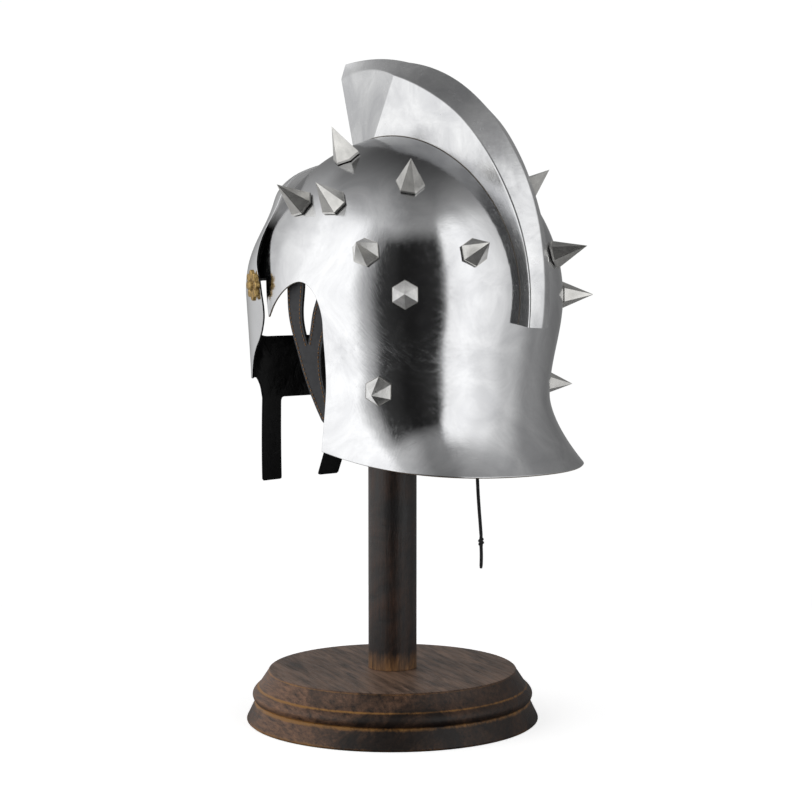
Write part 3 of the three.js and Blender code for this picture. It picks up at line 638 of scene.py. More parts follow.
# Elevations of base, crease and ridge, heights of ridge and crease, and half width
CREST_SECTIONS = [
    (-10, -10, -10, 0.27, 0.22, 0.42),
    (2, 2, 2, 0.28, 0.2, 0.42),
    (16, 16, 16, 0.33, 0.22, 0.47),
    (34, 34, 34, 0.46, 0.3, 0.6),
    (48, 48, 48, 0.58, 0.42, 0.72),
    (62, 61, 61, 0.73, 0.57, 0.85),
    (76, 73, 73, 0.88, 0.7, 0.95),
    (87, 81, 82, 0.98, 0.8, 1),
    (96, 87, 90, 1.06, 0.88, 1),
    (117, 112, 110, 1.4, 1.2, 0.05),
]
CREST_STEPS = 12


def crest_stations():
    """The sections with smooth steps between them, and straight ones in the front end."""
    rows = [Vector(row) for row in CREST_SECTIONS]
    stations = spline(rows[:-1], CREST_STEPS)
    for step in range(1, CREST_STEPS + 1):
        stations.append(rows[-2] + (rows[-1] - rows[-2]) * (step / CREST_STEPS))
    return stations


def skull_reach(x, elevation):
    c, s = math.cos(math.radians(elevation)), math.sin(math.radians(elevation))

    def within(reach):
        height = SKULL_EQUATOR + reach * s
        share = math.hypot(x / SKULL_HALF_WIDTH, reach * c / SKULL_HALF_LENGTH)
        return height < SKULL_EQUATOR + DOME_HEIGHT and share < skull_share(height)

    return halved(0.0, 2.0 * DOME_HEIGHT, within)


def crest_point(x, elevation, lift):
    reach = skull_reach(x, elevation) + lift
    turn = math.radians(elevation)
    return Vector((x, SKULL_SETBACK + reach * math.cos(turn), SKULL_EQUATOR + reach * math.sin(turn)))


CREST_THINNEST = 0.4
FLANK_STEPS = 6
BEVEL_STEPS = 3
FOLD = 1.3
FOLD_STEPS = 6
SMOOTH_ANGLE = 16
SEAM_RADIUS = 0.3
SEAM_ASIDE = 0.1


def eased(before, corner, after, cut):
    """A corner between two straight stretches as a short curve."""
    start = corner + (before - corner).normalized() * min(cut, (before - corner).length / 3)
    end = corner + (after - corner).normalized() * min(cut, (after - corner).length / 3)
    return bent(start, corner, end, FOLD_STEPS)


def crest_half(station):
    return max(CREST_HALF_WIDTH * station[5], CREST_THINNEST)


def crest_ring(station):
    base, crease, ridge, ridge_height, crease_height = station[:5]
    half = crest_half(station)
    foot = crest_point(half, base, SEAT)
    bend = crest_point(half + CREST_FLARE, crease, CREST_HEIGHT * crease_height)
    top = crest_point(0, ridge, CREST_HEIGHT * ridge_height)
    fold = eased(foot, bend, top, FOLD)
    crown = eased(bend, top, mirrored(bend), FOLD)
    side = [foot.lerp(fold[0], j / FLANK_STEPS) for j in range(FLANK_STEPS)] + fold
    side += [fold[-1].lerp(crown[0], j / BEVEL_STEPS) for j in range(1, BEVEL_STEPS)]
    return side + crown + [mirrored(point) for point in reversed(side)]


def make_crest(materials, seam_material):
    stations = crest_stations()
    rings = [crest_ring(station) for station in stations]
    wide = len(rings[0])
    points = [point for ring in rings for point in ring]
    faces = grid_faces(len(rings), wide, loop=False)
    for row in (0, len(rings) - 1):
        for j in range(wide // 2):
            ends = (j, j + 1, wide - 2 - j, wide - 1 - j)
            if len(set(ends)) == 4:
                faces.append(tuple(row * wide + i for i in ends))
    crest = new_object("crest_sheet", points, faces, materials)
    bm = bmesh.new()
    bm.from_mesh(crest.data)
    bmesh.ops.remove_doubles(bm, verts=bm.verts, dist=0.01 * MM)
    bmesh.ops.recalc_face_normals(bm, faces=bm.faces)
    bm.to_mesh(crest.data)
    bm.free()
    crest.data.set_sharp_from_angle(angle=math.radians(SMOOTH_ANGLE))
    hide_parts("crest")
    for side, name in SIDES:
        seam = [
            crest_point(side * (crest_half(station) + SEAM_ASIDE), station[0], SEAT / 2)
            for station in stations
        ]
        points, faces = tube_points(seam, SEAM_RADIUS)
        new_object(f"crest_seam_{name}", points, faces, [seam_material])


def tube_points(path, radius, sides=8):
    """Points and faces of a closed tube along a path."""
    path = [Vector(point) for point in path]
    points = []
    normal = None
    for i, place in enumerate(path):
        along = (path[min(i + 1, len(path) - 1)] - path[max(i - 1, 0)]).normalized()
        if normal is None:
            normal = along.orthogonal().normalized()
        normal = (normal - along * normal.dot(along)).normalized()
        cross = along.cross(normal)
        size = radius[i] if isinstance(radius, list) else radius
        for j in range(sides):
            turn = 2 * math.pi * j / sides
            points.append(place + (normal * math.cos(turn) + cross * math.sin(turn)) * size)
    faces = grid_faces(len(path), sides)
    faces.append(tuple(reversed(range(sides))))
    faces.append(tuple(range((len(path) - 1) * sides, len(path) * sides)))
    return points, faces


def joined_tubes(lines, sides):
    """Points and faces of several tubes, each given by its path and its radius."""
    points, faces = [], []
    for path, radius in lines:
        start = len(points)
        more, more_faces = tube_points(path, radius, sides)
        points += more
        faces += [tuple(start + i for i in face) for face in more_faces]
    return points, faces


# Spikes keep their own solids, with slightly broken edges


SPIKE_EDGE = 0.35
SPIKE_EDGE_ANGLE = 15


def finish_spikes(material):
    for name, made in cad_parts.items():
        if not name.startswith("spike_"):
            continue
        made.data.materials.clear()
        made.data.materials.append(material)
        edge = made.modifiers.new("edges", "BEVEL")
        edge.width = SPIKE_EDGE * MM
        edge.segments = 2
        edge.limit_method = "ANGLE"
        edge.angle_limit = math.radians(SPIKE_EDGE_ANGLE)


# Rosettes


ROSETTE_PETALS = 8
PETAL_RELIEF = 0.7
ROSETTE_EDGE = 0.72
ROSETTE_BOSS = 3.6
ROSETTE_SCALLOP = 0.1


def rosette_height(radius, turn):
    """Height of the rosette's face: petals with a groove between them, round a boss."""
    share = radius / ROSETTE_RADIUS
    if radius < ROSETTE_BOSS:
        return ROSETTE_THICKNESS + 0.7 * math.sqrt(max(0, ROSETTE_BOSS ** 2 - radius ** 2))
    petal = abs(math.cos(ROSETTE_PETALS * turn / 2))
    ring = math.exp(-((radius - ROSETTE_BOSS - 0.9) / 0.5) ** 2)
    swell = math.sin(min(1, (share - 0.33) / 0.67) * math.pi) ** 0.6 if share > 0.33 else 0
    vein = 0.25 * math.exp(-((1 - petal) / 0.03) ** 2) * swell
    return ROSETTE_THICKNESS - PETAL_RELIEF * (1 - petal ** 0.5) - 0.5 * ring + 0.5 * swell - vein


def make_rosettes(materials):
    rings, around = 30, 128
    for side, name in SIDES:
        angle = ROSETTE_ANGLE if side > 0 else 180 - ROSETTE_ANGLE
        height = SKULL_EQUATOR + ROSETTE_RISE
        centre = guard_point(angle, height, SHEET)
        beside = guard_point(angle + 1, height, SHEET) - guard_point(angle - 1, height, SHEET)
        above = guard_point(angle, height + 1, SHEET) - guard_point(angle, height - 1, SHEET)
        normal = beside.cross(above).normalized()
        across = Vector((-normal.y, normal.x, 0)).normalized()
        up = normal.cross(across)
        points = []
        for ring in range(1, rings + 2):
            share = min(1, ring / rings)
            for i in range(around):
                turn = 2 * math.pi * i / around
                scallop = 1 - ROSETTE_SCALLOP * (1 - math.cos(ROSETTE_PETALS * turn))
                radius = ROSETTE_RADIUS * share * mix(1, scallop, share ** 2)
                lift = rosette_height(ROSETTE_RADIUS * share, turn) if ring <= rings else 0
                if ring == rings:
                    lift *= ROSETTE_EDGE
                place = centre + (across * math.cos(turn) + up * math.sin(turn)) * radius
                points.append(place + normal * (SEAT + lift))
        faces = [tuple(reversed(face)) for face in grid_faces(rings + 1, around)]
        points += [centre + normal * (SEAT + rosette_height(0, 0)), centre + normal * SEAT]
        for i in range(around):
            j = (i + 1) % around
            faces.append((len(points) - 2, i, j))
            faces.append((rings * around + i, len(points) - 1, rings * around + j))
        made = new_object(f"rosette_flower_{name}", points, faces, materials)
        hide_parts(f"rosette_{name}")


# Liner


BAND_STITCH_INSET = 2.5
STITCH_INSET = 2.3
STITCH_LIFT = 0.1


def liner_point(angle, height, inset):
    return skull_point(angle, height) - skull_normal(angle, height) * (SHEET + inset)


def make_headband(leather, thread):
    columns, rows = 180, 8
    points = [
        liner_point(360 * i / columns, mix(BAND_LOW, BAND_HIGH, row / rows), 2 * SEAT)
        for row in range(rows + 1) for i in range(columns)
    ]
    faces = grid_faces(rows + 1, columns)
    band = new_object("headband_leather", points, faces, [leather])
    face_out(band)
    thicken(band, LEATHER, LEATHER_EDGE)
    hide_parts("liner_headband")
    lines = []
    for height in (BAND_LOW + BAND_STITCH_INSET, BAND_HIGH - BAND_STITCH_INSET):
        depth = 2 * SEAT + LEATHER + STITCH_LIFT
        lines.append([liner_point(360 * i / 240, height, depth) for i in range(241)])
    stitches("headband_stitching", lines, thread)


STITCH_PITCH = 3.1
STITCH_LENGTH = 2.2
STITCH_RADIUS = 0.42
STITCH_TAPER = 0.3


def stitches(name, lines, thread):
    """Short thread bars along lines of points in millimetres, joined in one mesh."""
    bars = []
    sizes = [STITCH_RADIUS * share for share in (0.45, 1, 1, 0.45)]
    for line in lines:
        marks = evenly(line, STITCH_PITCH, closed=False)
        for a, b in zip(marks, marks[1:]):
            along = (b - a).normalized()
            reaches = (0, STITCH_TAPER, STITCH_LENGTH - STITCH_TAPER, STITCH_LENGTH)
            bars.append(([a + along * reach for reach in reaches], sizes))
    points, faces = joined_tubes(bars, 6)
    new_object(name, points, faces, [thread])


STRAP_TOP = mix(BAND_LOW, BAND_HIGH, 0.6)
# Rows of plan angle, share of the drop below the headband and share of the strap's width
STRAP_ARMS = [
    [(-5, 0.05, 1.05), (-6, 0.25, 0.9), (-5.5, 0.38, 0.82), (-3.6, 0.53, 0.84),
     (-1.2, 0.69, 0.95), (1.5, 0.84, 0.84), (6, 1, 0.6)],
    [(12, 0.05, 0.95), (7.8, 0.25, 0.9), (5.4, 0.38, 0.84), (2.2, 0.53, 0.8),
     (1, 0.69, 0.84), (2.5, 0.84, 0.78), (6, 1, 0.55)],
]


def strap_outline():
    """The forked strap laid flat: across is the plan angle's arc, up is the height."""
    edges = []
    for rows in STRAP_ARMS:
        rows = [(rows[0][0], (BAND_LOW - STRAP_TOP) / STRAP_DROP, rows[0][2])] + rows
        for sign in (-1, 1):
            edge = []
            for angle, down, share in rows:
                across = math.radians(angle) * SKULL_HALF_WIDTH + sign * share * STRAP_WIDTH / 2
                edge.append((across, BAND_LOW - down * STRAP_DROP))
            edges.append(spline(edge, 10))
    front_left, front_right, rear_left, rear_right = edges
    fork = next(i for i, (a, b) in enumerate(zip(front_right, rear_left)) if a.x >= b.x)
    notch = (front_right[fork] + rear_left[fork]) / 2
    lower_right = [a if a.x > b.x else b for a, b in zip(front_right, rear_right)]
    tip_low = Vector((front_left[-1].x + 3, front_left[-1].y - 2))
    outline = front_left + [tip_low] + list(reversed(lower_right))
    outline += rear_left[:fork] + [notch] + list(reversed(front_right[:fork]))
    return outline


def strap_surface(x, height, depth, side):
    angle = math.degrees(x / SKULL_HALF_WIDTH)
    hang = min(1, max(0, (BAND_LOW - height) / (BAND_LOW - NECK_HEIGHT)))
    straight = STRAP_TIP_INSET * hang - NECK_TUCK * math.sin(hang * math.pi / 2) ** 2
    place = liner_point(angle, height, 4 * SEAT + LEATHER + straight + depth)
    return Vector((side * place.x, place.y, place.z))


def inset_line(outline, distance):
    """An outline moved inward by a distance."""
    area = sum(a.x * b.y - b.x * a.y for a, b in zip(outline, outline[1:] + outline[:1]))
    sign = 1 if area > 0 else -1
    result = []
    for i, here in enumerate(outline):
        along = (outline[(i + 1) % len(outline)] - outline[i - 1]).normalized()
        result.append(here + Vector((-along.y, along.x)) * sign * distance)
    return [
        point for point in result
        if min((point - mark).length for mark in outline) > 0.9 * distance
    ]


def make_straps(leather, thread):
    outline = evenly(strap_outline(), STRAP_SPACING[0])
    flat, faces = filled([outline], STRAP_SPACING[1])
    seam = inset_line(outline, STITCH_INSET)
    top = STRAP_TOP - STITCH_INSET - 0.6
    runs = [[]]
    for point in seam + seam[:1]:
        gap = runs[-1] and (point - runs[-1][-1]).length > 3 * STRAP_SPACING[0]
        if point.y > top or gap:
            runs.append([])
        if point.y <= top:
            runs[-1].append(point)
    runs = [run for run in runs if len(run) > 3]
    for side, name in SIDES:
        points = [strap_surface(point.x, point.y, 0, side) for point in flat]
        strap = new_object(f"cheek_strap_{name}", points, faces, [leather])
        face_out(strap)
        thicken(strap, LEATHER, LEATHER_EDGE)
        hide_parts(f"liner_strap_{name}")
        lines = [
            [strap_surface(point.x, point.y, depth, side) for point in run]
            for depth in (-STITCH_LIFT, LEATHER + STITCH_LIFT) for run in runs
        ]
        stitches(f"cheek_strap_stitching_{name}", lines, thread)


def make_lace(material):
    path = spline(LACE_ROUTE, 3)
    data = bpy.data.curves.new("lace_cord", "CURVE")
    data.dimensions = "3D"
    data.bevel_depth = LACE_DIAMETER / 2 * MM
    data.bevel_resolution = 3
    data.use_fill_caps = True
    line = data.splines.new("POLY")
    line.points.add(len(path) - 1)
    for point, place in zip(line.points, path):
        point.co = (*(place * MM), 1)
    data.materials.append(material)
    lace = bpy.data.objects.new("lace_cord", data)
    bpy.context.scene.collection.objects.link(lace)
    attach(lace, "root")
    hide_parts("lace")
    knot = make_knot(material)


KNOT_TURNS = 2.3
KNOT_LOOP = 1.3


def make_knot(material):
    """The lace wound round itself in a knot near its end, and the tail under it."""
    x, y, z = LACE_ROUTE[-1]
    centre = Vector((x, y, z - SEAT - KNOT_HEIGHT / 2))
    loop = []
    for i in range(81):
        share = i / 80
        turn = 2 * math.pi * KNOT_TURNS * share
        rise = (KNOT_HEIGHT / 2 - KNOT_LOOP) * (1 - 2 * share)
        out = KNOT_LOOP * math.sin(math.pi * share) ** 0.35
        loop.append(centre + Vector((out * math.cos(turn), out * math.sin(turn), rise)))
    core = [centre + Vector((0, 0, (KNOT_HEIGHT / 2 + SEAT) * (1 - i / 4))) for i in range(9)]
    tail = [
        centre - Vector((0.3 * math.sin(i / 3), 0, KNOT_HEIGHT * 0.4 + i * (LACE_TAIL + SEAT) / 10))
        for i in range(11)
    ]
    size = LACE_DIAMETER / 2
    core_sizes = [size * share for share in (0.9, 1, 1.1, 1.2, 1.2, 1.2, 1.1, 1, 0.9)]
    tail_sizes = [size] * 9 + [size * 0.95, size * 0.7]
    points, faces = joined_tubes([(loop, size * 0.75), (core, core_sizes), (tail, tail_sizes)], 10)
    knot = new_object("lace_knot_and_tail", points, faces, [material])
    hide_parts("lace_knot")
    return knot


# Stand


WOOD_EDGE_ANGLE = 35


def turned(name, profile, segments, material, replaced):
    """A turned wooden piece from a profile of radius and height."""
    points = []
    for radius, height in profile[1:-1]:
        for i in range(segments):
            turn = 2 * math.pi * i / segments
            points.append((radius * math.cos(turn), radius * math.sin(turn), height))
    faces = grid_faces(len(profile) - 2, segments)
    top = len(points) - segments
    points += [(0, 0, profile[0][1]), (0, 0, profile[-1][1])]
    for i in range(segments):
        j = (i + 1) % segments
        faces += [(j, i, len(points) - 2), (top + i, top + j, len(points) - 1)]
    made = new_object(name, points, faces, [material])
    made.data.set_sharp_from_angle(angle=math.radians(WOOD_EDGE_ANGLE))
    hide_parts(replaced)


def arc_profile(corners):
    """A profile of radius and height with rounded corners. Each corner has its own radius."""
    result = []
    for i, corner in enumerate(corners):
        here = Vector(corner[:2])
        if i in (0, len(corners) - 1) or corner[2] == 0:
            result.append(here)
            continue
        into, out = Vector(corners[i - 1][:2]) - here, Vector(corners[i + 1][:2]) - here
        cut = min(corner[2], into.length / 2, out.length / 2)
        start, end = here + into.normalized() * cut, here + out.normalized() * cut
        result += bent(start, here, end, 6)
    return [tuple(point) for point in result]


TABLE_RINGS = (80, 66, 50, 34, 24, 17, 8)
HEAD_SKIRT = 26


def make_stand(material, upright):
    base = [(0, 0, 0), (FOOT_RADIUS - 1, 0, 0), (FOOT_RADIUS, 0.8, 0.5), (FOOT_RADIUS, FOOT_RIM, 0.6)]
    base += [(COVE_RADIUS, COVE_HEIGHT, 0.3)]
    for i in range(15):
        share = i / 14
        start = mix(COVE_RADIUS, SHOULDER_RADIUS, share)
        bulge = BEAD_RADIUS - mix(COVE_RADIUS, SHOULDER_RADIUS, 0.5)
        height = mix(COVE_HEIGHT + 0.6, BEAD_TOP, share)
        base.append((start + bulge * math.sin(math.pi * share) ** 0.8, height, 0))
    for i in range(9):
        turn = math.pi / 2 * i / 8
        base.append((TABLE_RADIUS + TABLE_LIP * math.cos(turn),
                     BASE_HEIGHT - TABLE_LIP + TABLE_LIP * math.sin(turn), 0))
    base += [(radius, BASE_HEIGHT, 0) for radius in TABLE_RINGS]
    base.append((0, BASE_HEIGHT, 0))

    turned("base_wood", arc_profile(base), 160, material, "stand_base")
    low, high = (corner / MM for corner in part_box("stand_post"))
    radius = high.x
    length = high.z - low.z
    post = [(0, low.z, 0), (radius, low.z, 0)]
    post += [(radius, low.z + length * i / 24, 0) for i in range(1, 24)]
    post += [(radius, high.z, 0), (0, high.z, 0)]
    turned("post_wood", arc_profile(post), 72, upright, "stand_post")
    low, high = (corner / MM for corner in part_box("stand_head"))
    radius = high.x
    skirt = low.z + HEAD_SKIRT
    cap = [(0, low.z, 0), (radius, low.z, 3), (radius, skirt, 0)]
    roundness = radius * radius / (2 * (high.z - skirt))
    cap += [(radius * (1 - i / 16), high.z - (radius * (1 - i / 16)) ** 2 / (2 * roundness), 0)
            for i in range(1, 17)]
    turned("head_wood", arc_profile(cap), 96, upright, "stand_head")


# Materials

# Heights between which the dome's colour darkens towards its crown as painted shade, and the paint
# inside the face guard gives way to bare steel
CROWN_SHADE_HEIGHTS = (368, 420)
INNER_BROW = (364, 377)
BROW_GLOW = 0.16


def node(tree, kind, inputs=None, **settings):
    """A shader node whose inputs are values or other nodes' outputs."""
    made = tree.nodes.new("ShaderNode" + kind)
    for key, value in settings.items():
        setattr(made, key, value)
    for key, value in (inputs or {}).items():
        if isinstance(value, bpy.types.NodeSocket):
            tree.links.new(value, made.inputs[key])
        else:
            made.inputs[key].default_value = value
    return made


def new_material(name, **values):
    material = bpy.data.materials.new(name)
    material.use_nodes = True
    tree = material.node_tree
    shader = tree.nodes["Principled BSDF"]
    for key, value in values.items():
        socket = shader.inputs[key.replace("_", " ")]
        socket.default_value = value
    return material, tree, shader


def feed(tree, shader, **values):
    """Links outputs to the shader's inputs."""
    for key, value in values.items():
        tree.links.new(value, shader.inputs[key.replace("_", " ")])


def object_place(tree):
    return node(tree, "TexCoord").outputs["Object"]


def height_of(tree, vector):
    return node(tree, "SeparateXYZ", {0: vector}).outputs["Z"]


def dot(tree, vector, direction):
    """How far a vector reaches along a fixed direction."""
    made = node(tree, "VectorMath", {0: vector, 1: direction}, operation="DOT_PRODUCT")
    return made.outputs["Value"]


def places(tree, scale=(1, 1, 1), turn=(0, 0, 0)):
    """Object places in metres, turned and then scaled."""
    turned_inputs = {"Vector": object_place(tree), "Rotation": [math.radians(a) for a in turn]}
    first = node(tree, "Mapping", turned_inputs).outputs["Vector"]
    return node(tree, "Mapping", {"Vector": first, "Scale": scale}).outputs["Vector"]


def noise(tree, vector, scale, detail=4.0, rough=0.55, distortion=0.0):
    inputs = {"Vector": vector, "Scale": scale, "Detail": detail, "Roughness": rough,
              "Distortion": distortion}
    return node(tree, "TexNoise", inputs).outputs["Fac"]


def remap(tree, value, low, high, to_low=0.0, to_high=1.0):
    inputs = {"Value": value, "From Min": low, "From Max": high, "To Min": to_low, "To Max": to_high}
    return node(tree, "MapRange", inputs).outputs["Result"]


def blend(tree, share, first, second):
    made = node(tree, "Mix", data_type="RGBA")
    for index, value in ((0, share), (6, first), (7, second)):
        if isinstance(value, bpy.types.NodeSocket):
            tree.links.new(value, made.inputs[index])
        else:
            made.inputs[index].default_value = value
    return made.outputs[2]


def combine(tree, operation, first, second):
    return node(tree, "Math", {0: first, 1: second}, operation=operation).outputs[0]


def bump(tree, shader, height, distance, under=None):
    inputs = {"Height": height, "Distance": distance}
    if under is not None:
        inputs["Normal"] = under
    made = node(tree, "Bump", inputs).outputs["Normal"]
    feed(tree, shader, Normal=made)
    return made


def height_above(tree, low, high):
    """Zero below one height in millimetres, one above another."""
    return remap(tree, height_of(tree, object_place(tree)), low * MM, high * MM)


def polished_steel(name, bright, dark, rough, wave, scratch, crown=1.0, metal=1.0):
    """Hand polished steel sheet: slow waves, cloudy smears and fine crossing scratches.

    A crown under one is the share of its brightness that is left at the top of the dome, as painted
    shade.
    """
    material, tree, shader = new_material(name, Metallic=metal)
    plain = places(tree)
    cloud = noise(tree, plain, 26, 5, 0.6, 1.2)
    colour = blend(tree, remap(tree, cloud, 0.35, 0.68), dark, bright)
    # Painted shade: the colour darkens towards the top of the dome
    if crown < 1:
        painted_crown_shade = tuple(crown * value for value in dark[:3]) + (1,)
        colour = blend(tree, height_above(tree, *CROWN_SHADE_HEIGHTS), colour, painted_crown_shade)
    feed(tree, shader, Base_Color=colour)
    marks = []
    for turn, stretch in (((20, 35, 10), 14), ((-50, 15, 60), 18), ((70, -30, 25), 12)):
        lines = noise(tree, places(tree, (1, 1, stretch), turn), 110, 3, 0.6, 0.5)
        marks.append(remap(tree, lines, 0.42, 0.62))
    swirl = combine(tree, "MULTIPLY", combine(tree, "ADD", marks[0], marks[1]), marks[2])
    smear = noise(tree, plain, 45, 6, 0.7, 2.5)
    haze = combine(tree, "ADD", remap(tree, smear, 0.35, 0.7, 0, 0.08),
                   remap(tree, swirl, 0, 1.6, 0, 0.06))
    feed(tree, shader, Roughness=combine(tree, "ADD", haze, rough))
    slow = bump(tree, shader, noise(tree, plain, 17, 1.5, 0.4, 0.3), wave * MM)
    bump(tree, shader, swirl, scratch * MM, slow)
    return material


def plain_metal(name, colour, rough, rough_spread, grain, depth, scale=700, metal=1.0):
    material, tree, shader = new_material(name, Metallic=metal)
    plain = places(tree)
    cloud = noise(tree, plain, 90, 4)
    darker = tuple(0.72 * value for value in colour[:3]) + (1,)
    feed(tree, shader, Base_Color=blend(tree, remap(tree, cloud, 0.3, 0.7), darker, colour))
    fine = noise(tree, places(tree, grain), scale, 3, 0.6)
    feed(tree, shader, Roughness=remap(tree, fine, 0.3, 0.7, rough, rough + rough_spread))
    bump(tree, shader, fine, depth * MM)
    return material


def antique_brass():
    """Cast brass, dark in its hollows."""
    material, tree, shader = new_material("antique_brass", Metallic=1.0)
    hollow = node(tree, "NewGeometry").outputs["Pointiness"]
    patches = noise(tree, places(tree), 420, 4)
    worn = combine(tree, "ADD", remap(tree, hollow, 0.44, 0.55),
                   remap(tree, patches, 0.3, 0.8, -0.25, 0.2))
    colour = blend(tree, worn, (0.1, 0.055, 0.02, 1), (0.72, 0.5, 0.2, 1))
    feed(tree, shader, Base_Color=colour)
    feed(tree, shader, Roughness=remap(tree, patches, 0.2, 0.8, 0.3, 0.55))
    bump(tree, shader, noise(tree, places(tree), 1500, 2), 0.05 * MM)
    return material


def gloss_black():
    """Black paint inside the face guard, with faint runs.

    Behind the brow the steel is bare, with a glow for the light that the narrow gap keeps out.
    """
    material, tree, shader = new_material("black_paint", IOR=1.5, Specular_IOR_Level=0.14)
    plain = places(tree)
    bare = height_above(tree, *INNER_BROW)
    runs = noise(tree, plain, 120, 5)
    paint = blend(tree, runs, (0.002, 0.002, 0.0025, 1), (0.006, 0.006, 0.007, 1))
    feed(tree, shader, Base_Color=blend(tree, bare, paint, (0.5, 0.5, 0.51, 1)))
    shader.inputs["Emission Color"].default_value = (1, 1, 1, 1)
    feed(tree, shader, Emission_Strength=remap(tree, bare, 0.0, 1.0, 0.0, BROW_GLOW))
    feed(tree, shader, Roughness=remap(tree, noise(tree, plain, 50, 5), 0.3, 0.7, 0.16, 0.34))
    bump(tree, shader, noise(tree, plain, 90, 3, 0.5, 0.8), 0.5 * MM)
    return material


def leather_material():
    material, tree, shader = new_material("dark_leather", Specular_IOR_Level=0.45)
    plain = places(tree)
    cells = node(tree, "TexVoronoi", {"Vector": plain, "Scale": 900.0},
                 feature="DISTANCE_TO_EDGE")
    creases = noise(tree, plain, 160, 5, 0.6, 0.8)
    colour = blend(tree, remap(tree, creases, 0.3, 0.7), (0.028, 0.029, 0.033, 1),
                   (0.062, 0.063, 0.068, 1))
    feed(tree, shader, Base_Color=colour)
    feed(tree, shader, Roughness=remap(tree, creases, 0.25, 0.75, 0.48, 0.66))
    grain = remap(tree, cells.outputs["Distance"], 0, 0.12)
    soft = bump(tree, shader, creases, 0.25 * MM)
    bump(tree, shader, grain, 0.07 * MM, soft)
    return material


def thread_material():
    material, tree, shader = new_material("tan_thread", Sheen_Weight=0.3)
    fibre = noise(tree, places(tree), 2600, 3)
    colour = blend(tree, fibre, (0.2, 0.095, 0.035, 1), (0.46, 0.25, 0.1, 1))
    feed(tree, shader, Base_Color=colour)
    feed(tree, shader, Roughness=remap(tree, fibre, 0.2, 0.8, 0.6, 0.85))
    bump(tree, shader, fibre, 0.12 * MM)
    return material


def lace_material():
    """Black braided lace."""
    material, tree, shader = new_material("black_lace", Sheen_Weight=0.25)
    slanted = places(tree, (1, 1, 1), (0, 40, 0))
    waves = {"Vector": slanted, "Scale": 260.0, "Distortion": 1.2}
    braid = node(tree, "TexWave", waves, bands_direction="Z").outputs["Fac"]
    colour = blend(tree, braid, (0.004, 0.004, 0.005, 1), (0.02, 0.02, 0.022, 1))
    feed(tree, shader, Base_Color=colour)
    feed(tree, shader, Roughness=remap(tree, braid, 0, 1, 0.7, 0.9))
    bump(tree, shader, braid, 0.03 * MM)
    return material


def wood_material(name, grain, turn, stains, worn_bands, shine):
    """Dark stained hardwood, rubbed back to golden brown along bands of its height, with painted light
    on the camera's left, painted shade on its right and a painted sheen on the base's flat top.
    """
    material, tree, shader = new_material(name, Specular_IOR_Level=shine)
    plain = places(tree)
    fibres = noise(tree, places(tree, grain, turn), 75, 8, 0.68, 0.3)
    streaks = noise(tree, places(tree, tuple(2.5 * value for value in grain), turn), 190, 4, 0.7)
    patches = noise(tree, plain, 16, 5, 0.65, 0.8)
    dark, light, rubbed_light = stains
    fine = combine(tree, "MULTIPLY_ADD", streaks, 0.35)
    tree.links.new(remap(tree, fibres, 0.0, 1.0, -0.15, 0.8), fine.node.inputs[2])
    stain = blend(tree, remap(tree, fine, 0.3, 0.68), dark, light)
    smoky_and_shaded = blend(tree, remap(tree, patches, 0.42, 0.58, 0.08, 1.0), dark, stain)
    height = height_of(tree, object_place(tree))
    wear = None
    for middle, half_width, strength in worn_bands:
        gap = combine(tree, "ABSOLUTE", combine(tree, "SUBTRACT", height, middle * MM), 0.0)
        band = remap(tree, gap, 0.0, half_width * MM, strength, 0.0)
        wear = band if wear is None else combine(tree, "MAXIMUM", wear, band)
    chance = combine(tree, "MULTIPLY", remap(tree, patches, 0.36, 0.6, 0.3, 1.3),
                     remap(tree, fine, 0.3, 0.62, 0.35, 1.25))
    # Painted light and shade: the rubbed wear shows more on the camera's left, and the stain darkens on
    # its right
    side = dot(tree, object_place(tree), LIT_SIDE)
    lit_side_boost = remap(tree, side, -0.06, 0.1, 0.5, 1.4)
    smoky_and_shaded = blend(tree, remap(tree, side, -0.08, 0.08, 0.8, 0.0), smoky_and_shaded, dark)
    rubbed = combine(tree, "MULTIPLY", combine(tree, "MULTIPLY", wear, chance), lit_side_boost)
    colour = blend(tree, remap(tree, rubbed, 0.12, 0.85), smoky_and_shaded, rubbed_light)
    # Painted sheen: the base's flat top is streaked towards a light brown
    top = remap(tree, height, (BASE_HEIGHT - 0.5) * MM, (BASE_HEIGHT - 0.1) * MM)
    slants = noise(tree, places(tree, (1, 9, 1), turn), 20, 8, 0.74, 0.4)
    streaked = combine(tree, "ADD", remap(tree, slants, 0.38, 0.62, 0, 0.75),
                       remap(tree, fine, 0.3, 0.7, 0, 0.25))
    top_streaks_and_sheen = blend(tree, streaked, TABLE_STREAKS_AND_SHEEN[0], TABLE_STREAKS_AND_SHEEN[1])
    if name == "dark_wood":
        colour = blend(tree, top, colour, top_streaks_and_sheen)
    feed(tree, shader, Base_Color=colour)
    feed(tree, shader, Roughness=remap(tree, fine, 0.3, 0.7, 0.3, 0.48))
    deep = bump(tree, shader, fine, 0.3 * MM)
    bump(tree, shader, patches, 0.8 * MM, deep)
    return material


# The base's flat top from dark streaks to a light brown that is a painted sheen. Stains from dark to
# light, with the rubbed wood last
TABLE_STREAKS_AND_SHEEN = [(0.014, 0.009, 0.007, 1), (0.38, 0.24, 0.17, 1)]
# Painted light: the camera's left, where the wood is painted lighter; its right is painted in shade
LIT_SIDE = -ASIDE
GOLD = (0.42, 0.2, 0.05, 1)
GRAIN_ANGLE = 65
